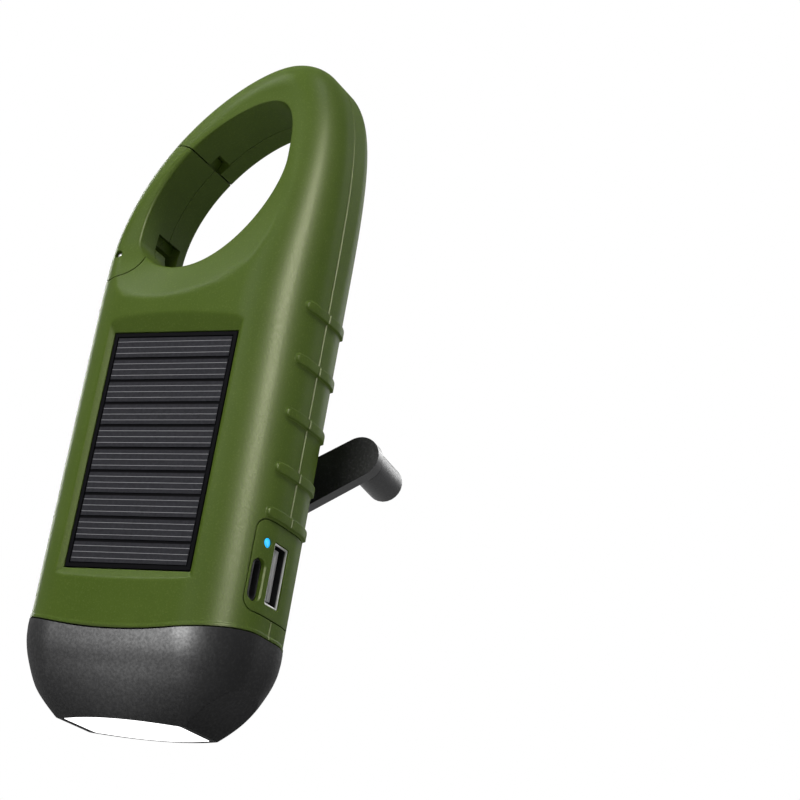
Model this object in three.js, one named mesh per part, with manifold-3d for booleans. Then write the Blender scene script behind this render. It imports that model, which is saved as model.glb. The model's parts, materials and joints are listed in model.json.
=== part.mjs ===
// Hand crank flashlight: a lamp head, a body with a solar panel and sockets, a folding crank and a
// carabiner ring with a sprung gate. Millimetres, +Z from the lamp to the ring, -Y is the front with
// the panel, +X the side with the sockets. The origin is the middle of the lamp's flat end face.
import * as THREE from 'three';
import { mergeVertices } from 'three/addons/utils/BufferGeometryUtils.js';
import Module from 'manifold-3d';

const wasm = await Module();
wasm.setup();

// Clearances shared by all pieces
const FIT_GAP = 0.3;
const RUN_GAP = 0.1;
const SEAM_GAP = 0.2;
const CUT_OVERRUN = 1;
const SLIVER = 0.02;
const FULL_TURN = Math.PI * 2;
const DEGREE = Math.PI / 180;

// Facets on round shapes; the extruder puts twice its segment count on each arc
const ROUND_SIDES = 24;
const SMALL_SIDES = 12;
const LARGE_SIDES = 36;
const ARC_STEPS = 3;
const FINE_ARC_STEPS = 6;

// Body: outline seen from the front, and depths seen from the side
const HALF_WIDTH = 27;
const RING_START = 98;
const RING_RISE = 53.7;
const RING_TOP = RING_START + RING_RISE;
const APEX_SHARE = 0.43;
const RING_APEX_X = HALF_WIDTH * APEX_SHARE;
const RIGHT_HANDLE_SHARES = { rise: 0.588, reach: 0.56 };
const LEFT_HANDLE_SHARES = { rise: 0.653, reach: 0.4 };
const FRONT_DEPTH = 16;
const BACK_DEPTH = 15.8;
const CROWN = 1.2;
const FRONT_CORNER = 12.8;
const BACK_CORNER = 12.6;
const RING_FRONT_DROP = 4;
const RING_BACK_DROP = 3.5;
const RING_FRONT_CORNER = 8.9;
const RING_BACK_CORNER = 7.4;
const FRONT_TAPER = { start: RING_START - 11.5, end: RING_TOP - 2.7 };
const BACK_TAPER = { start: RING_START - 14, end: RING_START + RING_RISE * 0.646 };
const CORNER_STEPS = 6;
const CROWN_STEPS = 6;
const OUTLINE_STEPS = 14;

// Seam between body and lamp head: lowest at the front middle, higher at the sides
const HEAD_SEAM = 17;
const HEAD_SEAM_RISE = 3.5;

// Ring hole: a leaning oval of four quarter curves between its extreme points
const HOLE_SIDE_MARGIN = 10.3;
const HOLE_TOP_MARGIN = 12.4;
const HOLE_BOTTOM_MARGIN = 1.6;
const HOLE_SHARES = { topX: 0.38, rightZ: 0.503, bottomX: -0.233, leftZ: 0.16 };
const HOLE_REACH_SHARES = {
  topRight: 1, rightUp: 0.48, rightDown: 0.35, bottomRight: 0.545,
  bottomLeft: 0.63, leftDown: 0.4, leftUp: 0.6, topLeft: 0.3,
};
const HOLE_STEPS = 12;
const HOLE_TOP = { x: HALF_WIDTH * HOLE_SHARES.topX, z: RING_TOP - HOLE_TOP_MARGIN };
const HOLE_RIGHT = { x: HALF_WIDTH - HOLE_SIDE_MARGIN, z: RING_START + RING_RISE * HOLE_SHARES.rightZ };
const HOLE_BOTTOM = { x: HALF_WIDTH * HOLE_SHARES.bottomX, z: RING_START + HOLE_BOTTOM_MARGIN };
const HOLE_LEFT = { x: HOLE_SIDE_MARGIN - HALF_WIDTH, z: RING_START + RING_RISE * HOLE_SHARES.leftZ };

// Dished faces round the hole: their depth at the hole and their outer edge at the shell's face
const DISH_FRONT_INNER = FRONT_DEPTH - 3.6;
const DISH_FRONT_OUTER = FRONT_DEPTH + CROWN + 0.6;
const DISH_FRONT_EDGE = { up: -0.7, right: 9, down: 9, left: 13 };
const DISH_FRONT_SHARES = { topX: 0.52, rightZ: 0.484, bottomX: -0.37, leftZ: 0.26 };
const DISH_BACK_INNER = 5.5;
const DISH_BACK_OUTER = BACK_DEPTH + CROWN + 0.8;
const DISH_BACK_EDGE = { up: 3.3, right: 5, down: 12, left: 5 };
const DISH_BACK_SHARES = { topX: 0.41, rightZ: 0.484, bottomX: -0.3, leftZ: 0.22 };
const DISH_HANDLE_SHARE = 0.552;
const DISH_OVERRUN_SHARE = 0.2;

// Gate: a sprung arc of the ring that turns about a pin
const PIVOT_X = 6.2 - HALF_WIDTH;
const PIVOT_Z = RING_START + 4.5;
const KNUCKLE_RADIUS = 6.2;
const GATE_REACH = 28.9;
const GATE_SEAM_Y = -2;
const GATE_FORK_FRONT = -6.3;
const GATE_FORK_BACK = 2.9;
const GATE_POCKET_REACH = 9.3;
const GATE_POCKET_ANGLE = 74 * DEGREE;
const GATE_OPEN_ANGLE = 38 * DEGREE;
const GATE_ROOM_START = 7.5 * DEGREE;
const LUG_RADIUS = 5.9;
const LUG_FRONT = -6;
const LUG_BACK = -1.9;
const GATE_PIN_RADIUS = 1;
const GATE_PIN_FRONT = -11.2;
const GATE_PIN_BACK = 6.6;
const TONGUE_LENGTH = 2.6;
const TONGUE_ROOT = 2.4;
const TONGUE_FRONT = -4.4;
const TONGUE_BACK = 0.1;
const TONGUE_ANGLES = { inner: 66.5 * DEGREE, outer: 72.1 * DEGREE };
const SLOT_OPEN_ANGLE = 55 * DEGREE;
const SPRING_RADIUS = 1.9;
const SPRING_WIRE = 0.3;
const SPRING_FRONT = -1.4;
const SPRING_TURNS = 3;
const SPRING_PITCH = 1.1;
const SPRING_SIDES = 5;
const SPRING_STEPS_PER_TURN = 8;
const SPRING_LEG = 2.2;
const SPRING_START_ANGLE = 200 * DEGREE;

// Shells
const WALL = 2;
const CAVITY_SIDE = HALF_WIDTH - WALL;
const CAVITY_FRONT = FRONT_DEPTH - 3.6;
const CAVITY_BACK = BACK_DEPTH + CROWN - WALL;
const CAVITY_TOP = RING_START - 12;
const CAVITY_CORNER = BACK_CORNER - 1.6;
const CAVITY_OVERRUN = 8;

// Grip ribs on both sides
const RIB_TOP_DROP = 6.4;
const RIB_PITCH = 12.1;
const RIB_COUNT = 5;
const LAST_RIB_LIFT = 2.3;
const RIB_HEIGHT = 2.4;
const RIB_PROUD = 0.6;
const RIB_SINK = 0.5;
const RIB_TOP_SHARE = 0.62;
const RIB_FRONT_Y = 7.7 - FRONT_DEPTH;
const RIB_BACK_Y = BACK_DEPTH - 5.3;
const RIB_STEPS = 10;
const RIB_SAMPLES = 400;

// Solar panel and its recess
const PANEL_WIDTH = 30.6;
const PANEL_LENGTH = 52.5;
const PANEL_BOTTOM = 30;
const PANEL_FACE = 0.4 - FRONT_DEPTH;
const PANEL_THICKNESS = 1.6;
const RECESS_TOP_SLOPE_SHARE = 2.35;
const RECESS_BOTTOM_SLOPE_SHARE = 1.4;
const RECESS_SIDE_SLOPE_SHARE = 1.2;
const RECESS_RISE = 2.2;
const PANEL_BORDER = 1.1;
const CELL_COUNT = 10;
const CELL_GAP = 0.7;
const CELL_THICKNESS = 0.3;
const CELL_GROOVE = 0.12;

// Port panel and sockets
const PORT_PANEL_Z = 34.2;
const PORT_PANEL_HEIGHT = 19.2;
const PORT_PANEL_WIDTH = 18.9;
const PORT_PANEL_CORNER = 2.4;
const PORT_PANEL_THICKNESS = 1.2;
const PORT_PANEL_LEDGE = 1;
const USB_Y = -0.95;
const USB_Z = 33.55;
const USB_HEIGHT = 13.1;
const USB_THICKNESS = 5.7;
const USB_DEPTH = 14;
const USB_FACE = HALF_WIDTH - 0.3;
const USB_SHEET = 0.4;
const USB_TONGUE_HEIGHT = 10.8;
const USB_TONGUE_THICKNESS = 1.8;
const USB_TONGUE_LENGTH = 10;
const USB_BASE = 3;
const OVAL_Y = -7.4;
const OVAL_Z = 31;
const OVAL_HEIGHT = 8.9;
const OVAL_THICKNESS = 3.1;
const OVAL_DEPTH = 7.4;
const OVAL_FACE = HALF_WIDTH - 1.25;
const OVAL_SHEET = 0.35;
const OVAL_TONGUE_HEIGHT = 6.4;
const OVAL_TONGUE_THICKNESS = 0.7;
const OVAL_BASE = 2;
const PILOT_Y = -6.2;
const PILOT_Z = 39.2;
const PILOT_RADIUS = 1;
const PILOT_BACK = HALF_WIDTH - 4.8;
const PILOT_FACE = HALF_WIDTH - 0.5;

// Main board, which fills the room between the cell and the ports
const CELL_RADIUS = 7.1;
const CELL_X = CELL_RADIUS + 2.4 - CAVITY_SIDE;
const BOARD_THICKNESS = 1.6;
const BOARD_FRONT = USB_Y - USB_THICKNESS / 2 - BOARD_THICKNESS - 0.2;
const BOARD_BACK = BOARD_FRONT + BOARD_THICKNESS;
const BOARD_RIGHT = HALF_WIDTH - 5.2;
const BOARD_CELL_GAP = 1.9;
const BOARD_LEFT = CELL_X + CELL_RADIUS + BOARD_CELL_GAP;
const BOARD_BOTTOM = 25.4;
const BOARD_TOP = 52.4;
const BOARD_POST_RADIUS = 2;
const BOARD_POST_INSET = 3.5;
const BOARD_POSTS = [
  [BOARD_LEFT + BOARD_POST_INSET, BOARD_BOTTOM + BOARD_POST_INSET],
  [BOARD_LEFT + BOARD_POST_INSET, BOARD_TOP - BOARD_POST_INSET],
  [BOARD_RIGHT - BOARD_POST_INSET, BOARD_TOP - BOARD_POST_INSET],
];

// Rechargeable cell, its contacts and saddles
const CELL_Y = -4;
const CELL_BOTTOM = 35;
const CELL_LENGTH = 43;
const CELL_BUTTON_RADIUS = 2.6;
const CELL_BUTTON = 0.9;
const CONTACT_WIDTH = 10.6;
const CONTACT_FRONT = 2.8 - CAVITY_FRONT;
const CONTACT_BACK = 2.6;
const CONTACT_SHEET = 0.5;
const CONTACT_WALL = 1.2;
const CONTACT_WALL_BACK = -0.4;
const SADDLE_WIDTH = 11;
const SADDLE_DEPTH = 4.6;
const SADDLE_SHEET = 1.6;
const SADDLE_INSET = 9;

// Switch on the left side
const BUTTON_Z = 30;
const BUTTON_HEIGHT = 9;
const BUTTON_WIDTH = 5.6;
const BUTTON_CORNER = 2.6;
const BUTTON_PROUD = 0.9;
const BUTTON_FLANGE = 1;
const BUTTON_FLANGE_THICKNESS = 0.9;
const BUTTON_STEM_RADIUS = 1.2;
const BUTTON_TRAVEL = 1.2;
const SWITCH_SIZE = 5.4;
const SWITCH_BODY = 3.4;
const SWITCH_PLUNGER = 0.6;
const SWITCH_PLUNGER_RADIUS = 1.5;
const SWITCH_BOARD_X = 8 - CAVITY_SIDE;
const SWITCH_BOARD_THICKNESS = 1.2;
const SWITCH_BOARD_BOTTOM = 27;
const SWITCH_BOARD_TOP = 32.8;
const SWITCH_BOARD_FRONT = 1.1 - CAVITY_FRONT;
const SWITCH_BOARD_BACK = 6;

// Case screws: two by the lamp, two below the ring and one in the ring's spine
const LOW_SCREW = { x: HALF_WIDTH - 8, z: HEAD_SEAM + 7.3 };
const HIGH_SCREW = { x: HALF_WIDTH - 6.5, z: CAVITY_TOP - 3.6 };
const SPINE_SCREW = { x: HALF_WIDTH - 5.8, z: RING_START + 23.5 };
const CASE_SCREWS = [
  [LOW_SCREW.x, LOW_SCREW.z], [-LOW_SCREW.x, LOW_SCREW.z],
  [HIGH_SCREW.x, HIGH_SCREW.z], [-HIGH_SCREW.x, HIGH_SCREW.z],
  [SPINE_SCREW.x, SPINE_SCREW.z],
];
const BOSS_RADIUS = 2.4;
const SCREW_HEAD_RADIUS = 1.7;
const SCREW_HEAD = 1.3;
const SCREW_SHANK_RADIUS = 1;
const SCREW_SEAT = CAVITY_BACK - 3.4;
const SPINE_SCREW_SEAT = 5.4;
const SCREW_TIP = -8;
const SCREW_SLOT = 0.5;
const SCREW_SLOT_SHARE = 0.7;

// Crank: hub, folding arm and knob
const HUB_Z = 50.3;
const CRANK_ANGLE = 32 * DEGREE;
const ARM_TILT = 5 * DEGREE;
const HUB_RADIUS = 11.6;
const HUB_FRONT = BACK_DEPTH + CROWN + 0.5;
const HUB_BACK = HUB_FRONT + 1.2;
const HINGE_OFFSET = 6.5;
const ARM_THICKNESS = 3;
const HINGE_Y = HUB_BACK + ARM_THICKNESS / 2 + 0.3;
const ARM_LENGTH = 27;
const ARM_ROOT_WIDTH = 10.2;
const ARM_END_WIDTH = 9.4;
const LUG_WIDTH = 2;
const LUG_LENGTH = 4.4;
const HINGE_PIN_RADIUS = 0.8;
const HINGE_PIN_HEAD = 0.5;
const HINGE_PIN_HEAD_RADIUS = 1.2;
const PEG_RADIUS = 2;
const PEG_LENGTH = 10.4;
const COLLAR_RADIUS = 3.3;
const COLLAR_HEIGHT = 0.7;
const KNOB_RADIUS = 4.15;
const KNOB_LENGTH = 13.3;
const KNOB_ROUNDING = 0.9;
const KNOB_SCREW_HEAD_RADIUS = 2;
const KNOB_SCREW_HEAD = 1.1;
const KNOB_SCREW_RECESS = 1.4;
const KNOB_SCREW_SHANK_RADIUS = 0.8;
const KNOB_SCREW_LENGTH = 5;
const SHAFT_RADIUS = 2.5;
const SHAFT_FRONT = 2.3;
const SHAFT_BACK = HUB_FRONT - FIT_GAP;
const BUSH_RADIUS = 4.2;
const BUSH_FRONT = CAVITY_BACK - 1.6;
const BUSH_BACK = BACK_DEPTH + CROWN - 0.1;
const BUSH_BOSS_WALL = 1.8;
const HUB_SCREW_HEAD_RADIUS = 2.2;
const HUB_SCREW_HEAD = 0.6;
const HUB_SCREW_LENGTH = 8;

// Knob pocket for the folded crank
const POCKET_HALF_WIDTH = 5.2;
const POCKET_BOTTOM_Z = 65.6;
const POCKET_FLOOR_TOP_Z = 76.4;
const POCKET_MOUTH_TOP_Z = 79.4;
const POCKET_FLOOR_Y = 4.4;
const POCKET_CORNER = 2.5;
const POCKET_WALL = 1.2;
const POCKET_MOUTH_Y = BACK_DEPTH + CROWN + 3;

// Gear train: a wheel on the crank shaft, two compound idlers and the rotor's pinion
const CRANK_WHEEL = { teeth: 40, module: 0.6, front: 11.2, back: 13 };
const IDLER_1_PINION = { teeth: 10, module: 0.6, front: 10.2, back: 13.2 };
const IDLER_1_WHEEL = { teeth: 36, module: 0.5, front: 8.6, back: 10.2 };
const IDLER_2_PINION = { teeth: 10, module: 0.5, front: 7.9, back: 10.5 };
const IDLER_2_WHEEL = { teeth: 32, module: 0.45, front: 6.4, back: 7.9 };
const ROTOR_PINION = { teeth: 10, module: 0.45, front: 6.1, back: 8.2 };
const IDLER_1_ANGLE = -28 * DEGREE;
const IDLER_2_ANGLE = 83 * DEGREE;
const ROTOR_ANGLE = 115 * DEGREE;
const TOOTH_ADDENDUM_SHARE = 0.85;
const TOOTH_DEDENDUM_SHARE = 1.1;
const TOOTH_ROOT_SHARE = 0.31;
const TOOTH_TIP_SHARE = 0.12;
const AXLE_RADIUS = 1;
const AXLE_BOSS_RADIUS = 2.4;
const AXLE_BACK = CAVITY_BACK - 0.2;
const PLATE_FRONT = 3;
const PLATE_BACK = 4.4;
const PLATE_MARGIN = 3.6;
const LOW_PLATE_SCREW = { x: 2, drop: 15.8 };
const HIGH_PLATE_SCREW = { reach: 12.45, angle: 40.3 * DEGREE };
const PLATE_SCREW_HEAD = 0.9;
const PLATE_SCREW_HEAD_RADIUS = 1.7;
const PLATE_SCREW_LENGTH = 7;

// Generator
const GENERATOR_RADIUS = 10;
const GENERATOR_WALL = 0.8;
const GENERATOR_FRONT = 3.4 - CAVITY_FRONT;
const GENERATOR_BACK = PLATE_FRONT - FIT_GAP;
const WINDING_RADIUS = 8.9;
const WINDING_BORE = 6.6;
const WINDING_LENGTH = 8.8;
const MAGNET_RADIUS = 6.2;
const MAGNET_LENGTH = 7;
const ROTOR_SHAFT_RADIUS = 0.9;
const ROTOR_SHAFT_BACK = ROTOR_PINION.back + 0.2;

// Lamp head: sections as shares of its height and of the body's own section
const HEAD_PROUD = 0.15;
const HEAD_FORM_TOP = HEAD_SEAM + 1;
const HEAD_STATION_SHARES = [
  { z: 0, width: 0.722, depth: 0.285, corner: 0.36, crown: 4.83 },
  { z: 0.083, width: 0.77, depth: 0.384, corner: 0.45, crown: 4.33 },
  { z: 0.222, width: 0.838, depth: 0.536, corner: 0.58, crown: 3.5 },
  { z: 0.389, width: 0.898, depth: 0.69, corner: 0.71, crown: 2.6 },
  { z: 0.556, width: 0.942, depth: 0.811, corner: 0.82, crown: 1.9 },
  { z: 0.722, width: 0.976, depth: 0.91, corner: 0.91, crown: 1.42 },
  { z: 0.861, width: 0.993, depth: 0.966, corner: 0.96, crown: 1.12 },
  { z: 1, width: 1, depth: 1, corner: 1, crown: 1 },
];
const HEAD_BACK_LEAN_SHARE = 0.26;
const HEAD_TOP = HEAD_SEAM + HEAD_SEAM_RISE + 1.5;
const FACET_FOOT_X = HALF_WIDTH - 10.8;
const FACET_FOOT_Z = 0.3;
const FACET_SLOPE_SHARE = 0.95;
const LENS_RIM = 2;
const LENS_LENGTH = (FACET_FOOT_X - LENS_RIM) * 2;
const LENS_END_WIDTH = 13.2;
const LENS_BULGE = 3.1;
const LENS_CORNER = 1.2;
const LENS_FLANGE = 0.8;
const LENS_FLANGE_THICKNESS = 1;
const WELL_GAP = 1.1;
const HEAD_FLOOR = 2;
const WELL_TOP = 12;
const CHAMBER_MARGIN = 5.5;
const CHAMBER_WIDTH = 23.4;
const CHAMBER_CORNER = 6;
const SPIGOT_RISE = 4.5;
const SPIGOT_TOP = HEAD_SEAM + SPIGOT_RISE;
const SPIGOT_WALL = 1.5;
const REFLECTOR_WALL = 0.9;
const REFLECTOR_MOUTH_WIDTH = 13.4;
const REFLECTOR_THROAT_INSET = 2.6;
const REFLECTOR_THROAT_WIDTH = 5.6;
const LAMP_BOARD_MARGIN = 4.8;
const LAMP_BOARD_LENGTH = LENS_LENGTH + LAMP_BOARD_MARGIN * 2;
const LAMP_BOARD_WIDTH = 18;
const LAMP_BOARD_THICKNESS = 1.2;
const DIODE_COUNT = 3;
const DIODE_PITCH = LENS_LENGTH * 0.296;
const DIODE_RADIUS = 2.4;
const DIODE_LENGTH = 4.6;
const DIODE_STEPS = 5;

const COLOURS = {
  olive: { color: 0x4f5f2a, roughness: 0.5, metalness: 0 },
  charcoal: { color: 0x1c1c1e, roughness: 0.7, metalness: 0 },
  black: { color: 0x131315, roughness: 0.45, metalness: 0 },
  rubber: { color: 0x1d1e1c, roughness: 0.8, metalness: 0 },
  panel: { color: 0x0d0e11, roughness: 0.25, metalness: 0 },
  cells: { color: 0x2b2c33, roughness: 0.3, metalness: 0 },
  steel: { color: 0xb4b6b8, roughness: 0.3, metalness: 1 },
  plastic: { color: 0xc9cac6, roughness: 0.5, metalness: 0 },
  white: { color: 0xf2f3f2, roughness: 0.3, metalness: 0 },
  blue: { color: 0x3fb4f2, roughness: 0.3, metalness: 0 },
  board: { color: 0x1f5a34, roughness: 0.6, metalness: 0 },
  copper: { color: 0xa9672f, roughness: 0.4, metalness: 1 },
  magnet: { color: 0x3a3b3d, roughness: 0.5, metalness: 0.6 },
  gear: { color: 0xe6e3d8, roughness: 0.5, metalness: 0 },
  wrap: { color: 0x2f6fa8, roughness: 0.4, metalness: 0 },
};

// Booleans

function toSolid(geometry) {
  const merged = geometry.clone();
  merged.deleteAttribute('normal');
  merged.deleteAttribute('uv');
  const welded = mergeVertices(merged, 1e-4);
  const source = welded.index.array;
  const kept = [];
  for (let i = 0; i < source.length; i += 3) {
    const [a, b, c] = [source[i], source[i + 1], source[i + 2]];
    if (a !== b && b !== c && a !== c) kept.push(a, b, c);
  }
  const mesh = new wasm.Mesh({
    numProp: 3,
    vertProperties: new Float32Array(welded.attributes.position.array),
    triVerts: new Uint32Array(kept),
  });
  return new wasm.Manifold(mesh);
}

function toGeometry(solid) {
  const mesh = solid.simplify(SLIVER).getMesh();
  const geometry = new THREE.BufferGeometry();
  const positions = new Float32Array(mesh.vertProperties);
  geometry.setAttribute('position', new THREE.BufferAttribute(positions, 3));
  geometry.setIndex(new THREE.BufferAttribute(new Uint32Array(mesh.triVerts), 1));
  return geometry;
}

function joined(...solids) {
  return solids.reduce((total, next) => total.add(next));
}

function without(body, ...cutters) {
  return cutters.reduce((left, cutter) => left.subtract(cutter), body);
}

// Prisms: a flat shape drawn in two axes and extruded along the third

function prismZ(shape, from, to, steps = ARC_STEPS) {
  const options = { depth: to - from, bevelEnabled: false, curveSegments: steps };
  const geometry = new THREE.ExtrudeGeometry(shape, options);
  geometry.translate(0, 0, from);
  return toSolid(geometry);
}

function prismY(shape, from, to, steps = ARC_STEPS) {
  const options = { depth: to - from, bevelEnabled: false, curveSegments: steps };
  const geometry = new THREE.ExtrudeGeometry(shape, options);
  geometry.rotateX(Math.PI / 2);
  geometry.translate(0, to, 0);
  return toSolid(geometry);
}

function prismX(shape, from, to, steps = ARC_STEPS) {
  const options = { depth: to - from, bevelEnabled: false, curveSegments: steps };
  const geometry = new THREE.ExtrudeGeometry(shape, options);
  const axes = new THREE.Matrix4().makeBasis(
    new THREE.Vector3(0, 1, 0), new THREE.Vector3(0, 0, 1), new THREE.Vector3(1, 0, 0));
  geometry.applyMatrix4(axes);
  geometry.translate(from, 0, 0);
  return toSolid(geometry);
}

function circle(u, v, radius) {
  const shape = new THREE.Shape();
  shape.absarc(u, v, radius, 0, FULL_TURN, false);
  return shape;
}

function rodY(x, z, radius, from, to, sides = ROUND_SIDES) {
  return prismY(circle(x, z, radius), from, to, sides / 2);
}

function rodX(y, z, radius, from, to, sides = ROUND_SIDES) {
  return prismX(circle(y, z, radius), from, to, sides / 2);
}

function rodZ(x, y, radius, from, to, sides = ROUND_SIDES) {
  return prismZ(circle(x, y, radius), from, to, sides / 2);
}

function rectangle(u0, v0, u1, v1) {
  const shape = new THREE.Shape();
  shape.moveTo(u0, v0);
  shape.lineTo(u1, v0);
  shape.lineTo(u1, v1);
  shape.lineTo(u0, v1);
  shape.closePath();
  return shape;
}

function roundedRectangle(u0, v0, u1, v1, corner) {
  const shape = new THREE.Shape();
  shape.moveTo(u0 + corner, v0);
  shape.lineTo(u1 - corner, v0);
  shape.absarc(u1 - corner, v0 + corner, corner, -Math.PI / 2, 0, false);
  shape.lineTo(u1, v1 - corner);
  shape.absarc(u1 - corner, v1 - corner, corner, 0, Math.PI / 2, false);
  shape.lineTo(u0 + corner, v1);
  shape.absarc(u0 + corner, v1 - corner, corner, Math.PI / 2, Math.PI, false);
  shape.lineTo(u0, v0 + corner);
  shape.absarc(u0 + corner, v0 + corner, corner, Math.PI, Math.PI * 1.5, false);
  return shape;
}

function centred(width, height, corner, u = 0, v = 0) {
  return roundedRectangle(u - width / 2, v - height / 2, u + width / 2, v + height / 2, corner);
}

function polygon(points) {
  return new THREE.Shape(points.map(([u, v]) => new THREE.Vector2(u, v)));
}

function box(x0, x1, y0, y1, z0, z1) {
  return prismZ(rectangle(x0, y0, x1, y1), z0, z1);
}

// A closed skin over rows of points, each row one loop, with a fan over the first and last loop
function loftedGeometry(rows, capStart = true, capEnd = true) {
  const size = rows[0].length;
  const positions = rows.flat().flat();
  const index = [];
  for (let j = 0; j < rows.length - 1; j += 1) {
    for (let i = 0; i < size; i += 1) {
      const a = j * size + i;
      const b = j * size + (i + 1) % size;
      index.push(a, b, b + size, a, b + size, a + size);
    }
  }
  const addCap = (row, flip) => {
    const centre = [0, 1, 2].map((k) => rows[row].reduce((sum, p) => sum + p[k], 0) / size);
    const middle = positions.length / 3;
    positions.push(...centre);
    for (let i = 0; i < size; i += 1) {
      const a = row * size + i;
      const b = row * size + (i + 1) % size;
      if (flip) index.push(b, a, middle);
      else index.push(a, b, middle);
    }
  };
  if (capStart) addCap(0, true);
  if (capEnd) addCap(rows.length - 1, false);
  const geometry = new THREE.BufferGeometry();
  geometry.setAttribute('position', new THREE.Float32BufferAttribute(positions, 3));
  geometry.setIndex(index);
  return geometry;
}

// Body blank

function bezier(points, t) {
  const m = 1 - t;
  const weights = [m * m * m, 3 * m * m * t, 3 * m * t * t, t * t * t];
  return [0, 1].map((k) => points.reduce((sum, p, i) => sum + weights[i] * p[k], 0));
}

function sideCurve(side, { rise, reach }) {
  return [
    [side * HALF_WIDTH, RING_START], [side * HALF_WIDTH, RING_START + RING_RISE * rise],
    [RING_APEX_X + side * HALF_WIDTH * reach, RING_TOP], [RING_APEX_X, RING_TOP]];
}

const RIGHT_CURVE = sideCurve(1, RIGHT_HANDLE_SHARES);
const LEFT_CURVE = sideCurve(-1, LEFT_HANDLE_SHARES);

// A point of one side's outline with its inward direction; side is 1 on the right, -1 on the left
function outlinePoint(curve, side, t) {
  const [x, z] = bezier(curve, t);
  const m = 1 - t;
  const weights = [m * m, 2 * m * t, t * t];
  const tangent = [0, 1].map((k) => weights.reduce((sum, w, i) => sum + w * (curve[i + 1][k] - curve[i][k]), 0));
  const length = Math.hypot(...tangent);
  return { x, z, inX: -side * tangent[1] / length, inZ: side * tangent[0] / length };
}

function taperShare(z, { start, end }) {
  const share = Math.min(1, Math.max(0, (z - start) / (end - start)));
  return share * share * (3 - 2 * share);
}

function mix(a, b, share) {
  return a + (b - a) * share;
}

// One half of a section, from the right edge over the face to the left edge; sign is the face's side
function halfSection(right, left, depth, corner, crown, sign) {
  const chord = Math.hypot(right.x - left.x, right.z - left.z) / 2;
  const points = [];
  const cornerPoint = (edge, k) => {
    const angle = (k / CORNER_STEPS) * Math.PI / 2;
    const inset = corner * (1 - Math.cos(angle));
    const across = chord > inset ? 1 - inset / chord : 0;
    const swell = crown * (1 - across * across) * Math.sin(angle);
    const y = sign * (depth - corner + corner * Math.sin(angle) + swell);
    return [edge.x + edge.inX * inset, y, edge.z + edge.inZ * inset];
  };
  for (let k = 0; k <= CORNER_STEPS; k += 1) points.push(cornerPoint(right, k));
  const from = points[points.length - 1];
  const to = cornerPoint(left, CORNER_STEPS);
  const edgeShare = chord > corner ? 1 - corner / chord : 0;
  for (let m = 1; m < CROWN_STEPS; m += 1) {
    const share = m / CROWN_STEPS;
    const across = edgeShare * (1 - 2 * share);
    const y = sign * (depth + crown * (1 - across * across));
    points.push([mix(from[0], to[0], share), y, mix(from[2], to[2], share)]);
  }
  for (let k = CORNER_STEPS; k >= 0; k -= 1) points.push(cornerPoint(left, k));
  return points;
}

function bodySection(right, left, inset = 0) {
  const z = (right.z + left.z) / 2;
  const frontShare = taperShare(z, FRONT_TAPER);
  const backShare = taperShare(z, BACK_TAPER);
  const front = FRONT_DEPTH - RING_FRONT_DROP * frontShare - inset;
  const back = BACK_DEPTH - RING_BACK_DROP * backShare - inset;
  const frontCorner = mix(FRONT_CORNER, RING_FRONT_CORNER, frontShare) - inset;
  const backCorner = mix(BACK_CORNER, RING_BACK_CORNER, backShare) - inset;
  const flatten = taperShare(z, { start: FRONT_TAPER.start, end: BACK_TAPER.end });
  const crown = mix(CROWN, 0, flatten);
  const backHalf = halfSection(right, left, back, backCorner, crown, 1);
  const frontHalf = halfSection(right, left, front, frontCorner, crown, -1).reverse();
  return [[right.x, 0, right.z], ...backHalf, [left.x, 0, left.z], ...frontHalf];
}

function straightSection(z, inset = 0) {
  const right = { x: HALF_WIDTH - inset, z, inX: -1, inZ: 0 };
  const left = { x: inset - HALF_WIDTH, z, inX: 1, inZ: 0 };
  return bodySection(right, left, inset);
}

function bodyBlank() {
  const rows = [HEAD_SEAM - CUT_OVERRUN, BACK_TAPER.start, (BACK_TAPER.start + RING_START) / 2].map((z) => straightSection(z));
  for (let k = 0; k <= OUTLINE_STEPS; k += 1) {
    const t = k / OUTLINE_STEPS;
    rows.push(bodySection(outlinePoint(RIGHT_CURVE, 1, t), outlinePoint(LEFT_CURVE, -1, t)));
  }
  return toSolid(loftedGeometry(rows, true, false));
}

// The body's section as a prism, drawn in from its surface by an inset
function bodyPrism(inset, from, to) {
  const points = straightSection(from, inset).map(([x, y]) => [x, y]);
  return prismZ(polygon(points), from, to);
}

// Ring hole and dished faces

function quarterCurves(top, right, bottom, left, reaches) {
  return [
    [[top.x, top.z], [top.x + reaches[0], top.z], [right.x, right.z + reaches[1]], [right.x, right.z]],
    [[right.x, right.z], [right.x, right.z - reaches[2]], [bottom.x + reaches[3], bottom.z], [bottom.x, bottom.z]],
    [[bottom.x, bottom.z], [bottom.x - reaches[4], bottom.z], [left.x, left.z - reaches[5]], [left.x, left.z]],
    [[left.x, left.z], [left.x, left.z + reaches[6]], [top.x - reaches[7], top.z], [top.x, top.z]],
  ];
}

function curvePoints(curves) {
  const points = [];
  for (const curve of curves) {
    for (let k = 0; k < HOLE_STEPS; k += 1) points.push(bezier(curve, k / HOLE_STEPS));
  }
  return points;
}

// Handle lengths of the four quarter curves, from shares of the spans between their ends
function quarterReaches(top, right, bottom, left, shares) {
  return [
    (right.x - top.x) * shares.topRight, (top.z - right.z) * shares.rightUp,
    (right.z - bottom.z) * shares.rightDown, (right.x - bottom.x) * shares.bottomRight,
    (bottom.x - left.x) * shares.bottomLeft, (left.z - bottom.z) * shares.leftDown,
    (top.z - left.z) * shares.leftUp, (top.x - left.x) * shares.topLeft];
}

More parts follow.
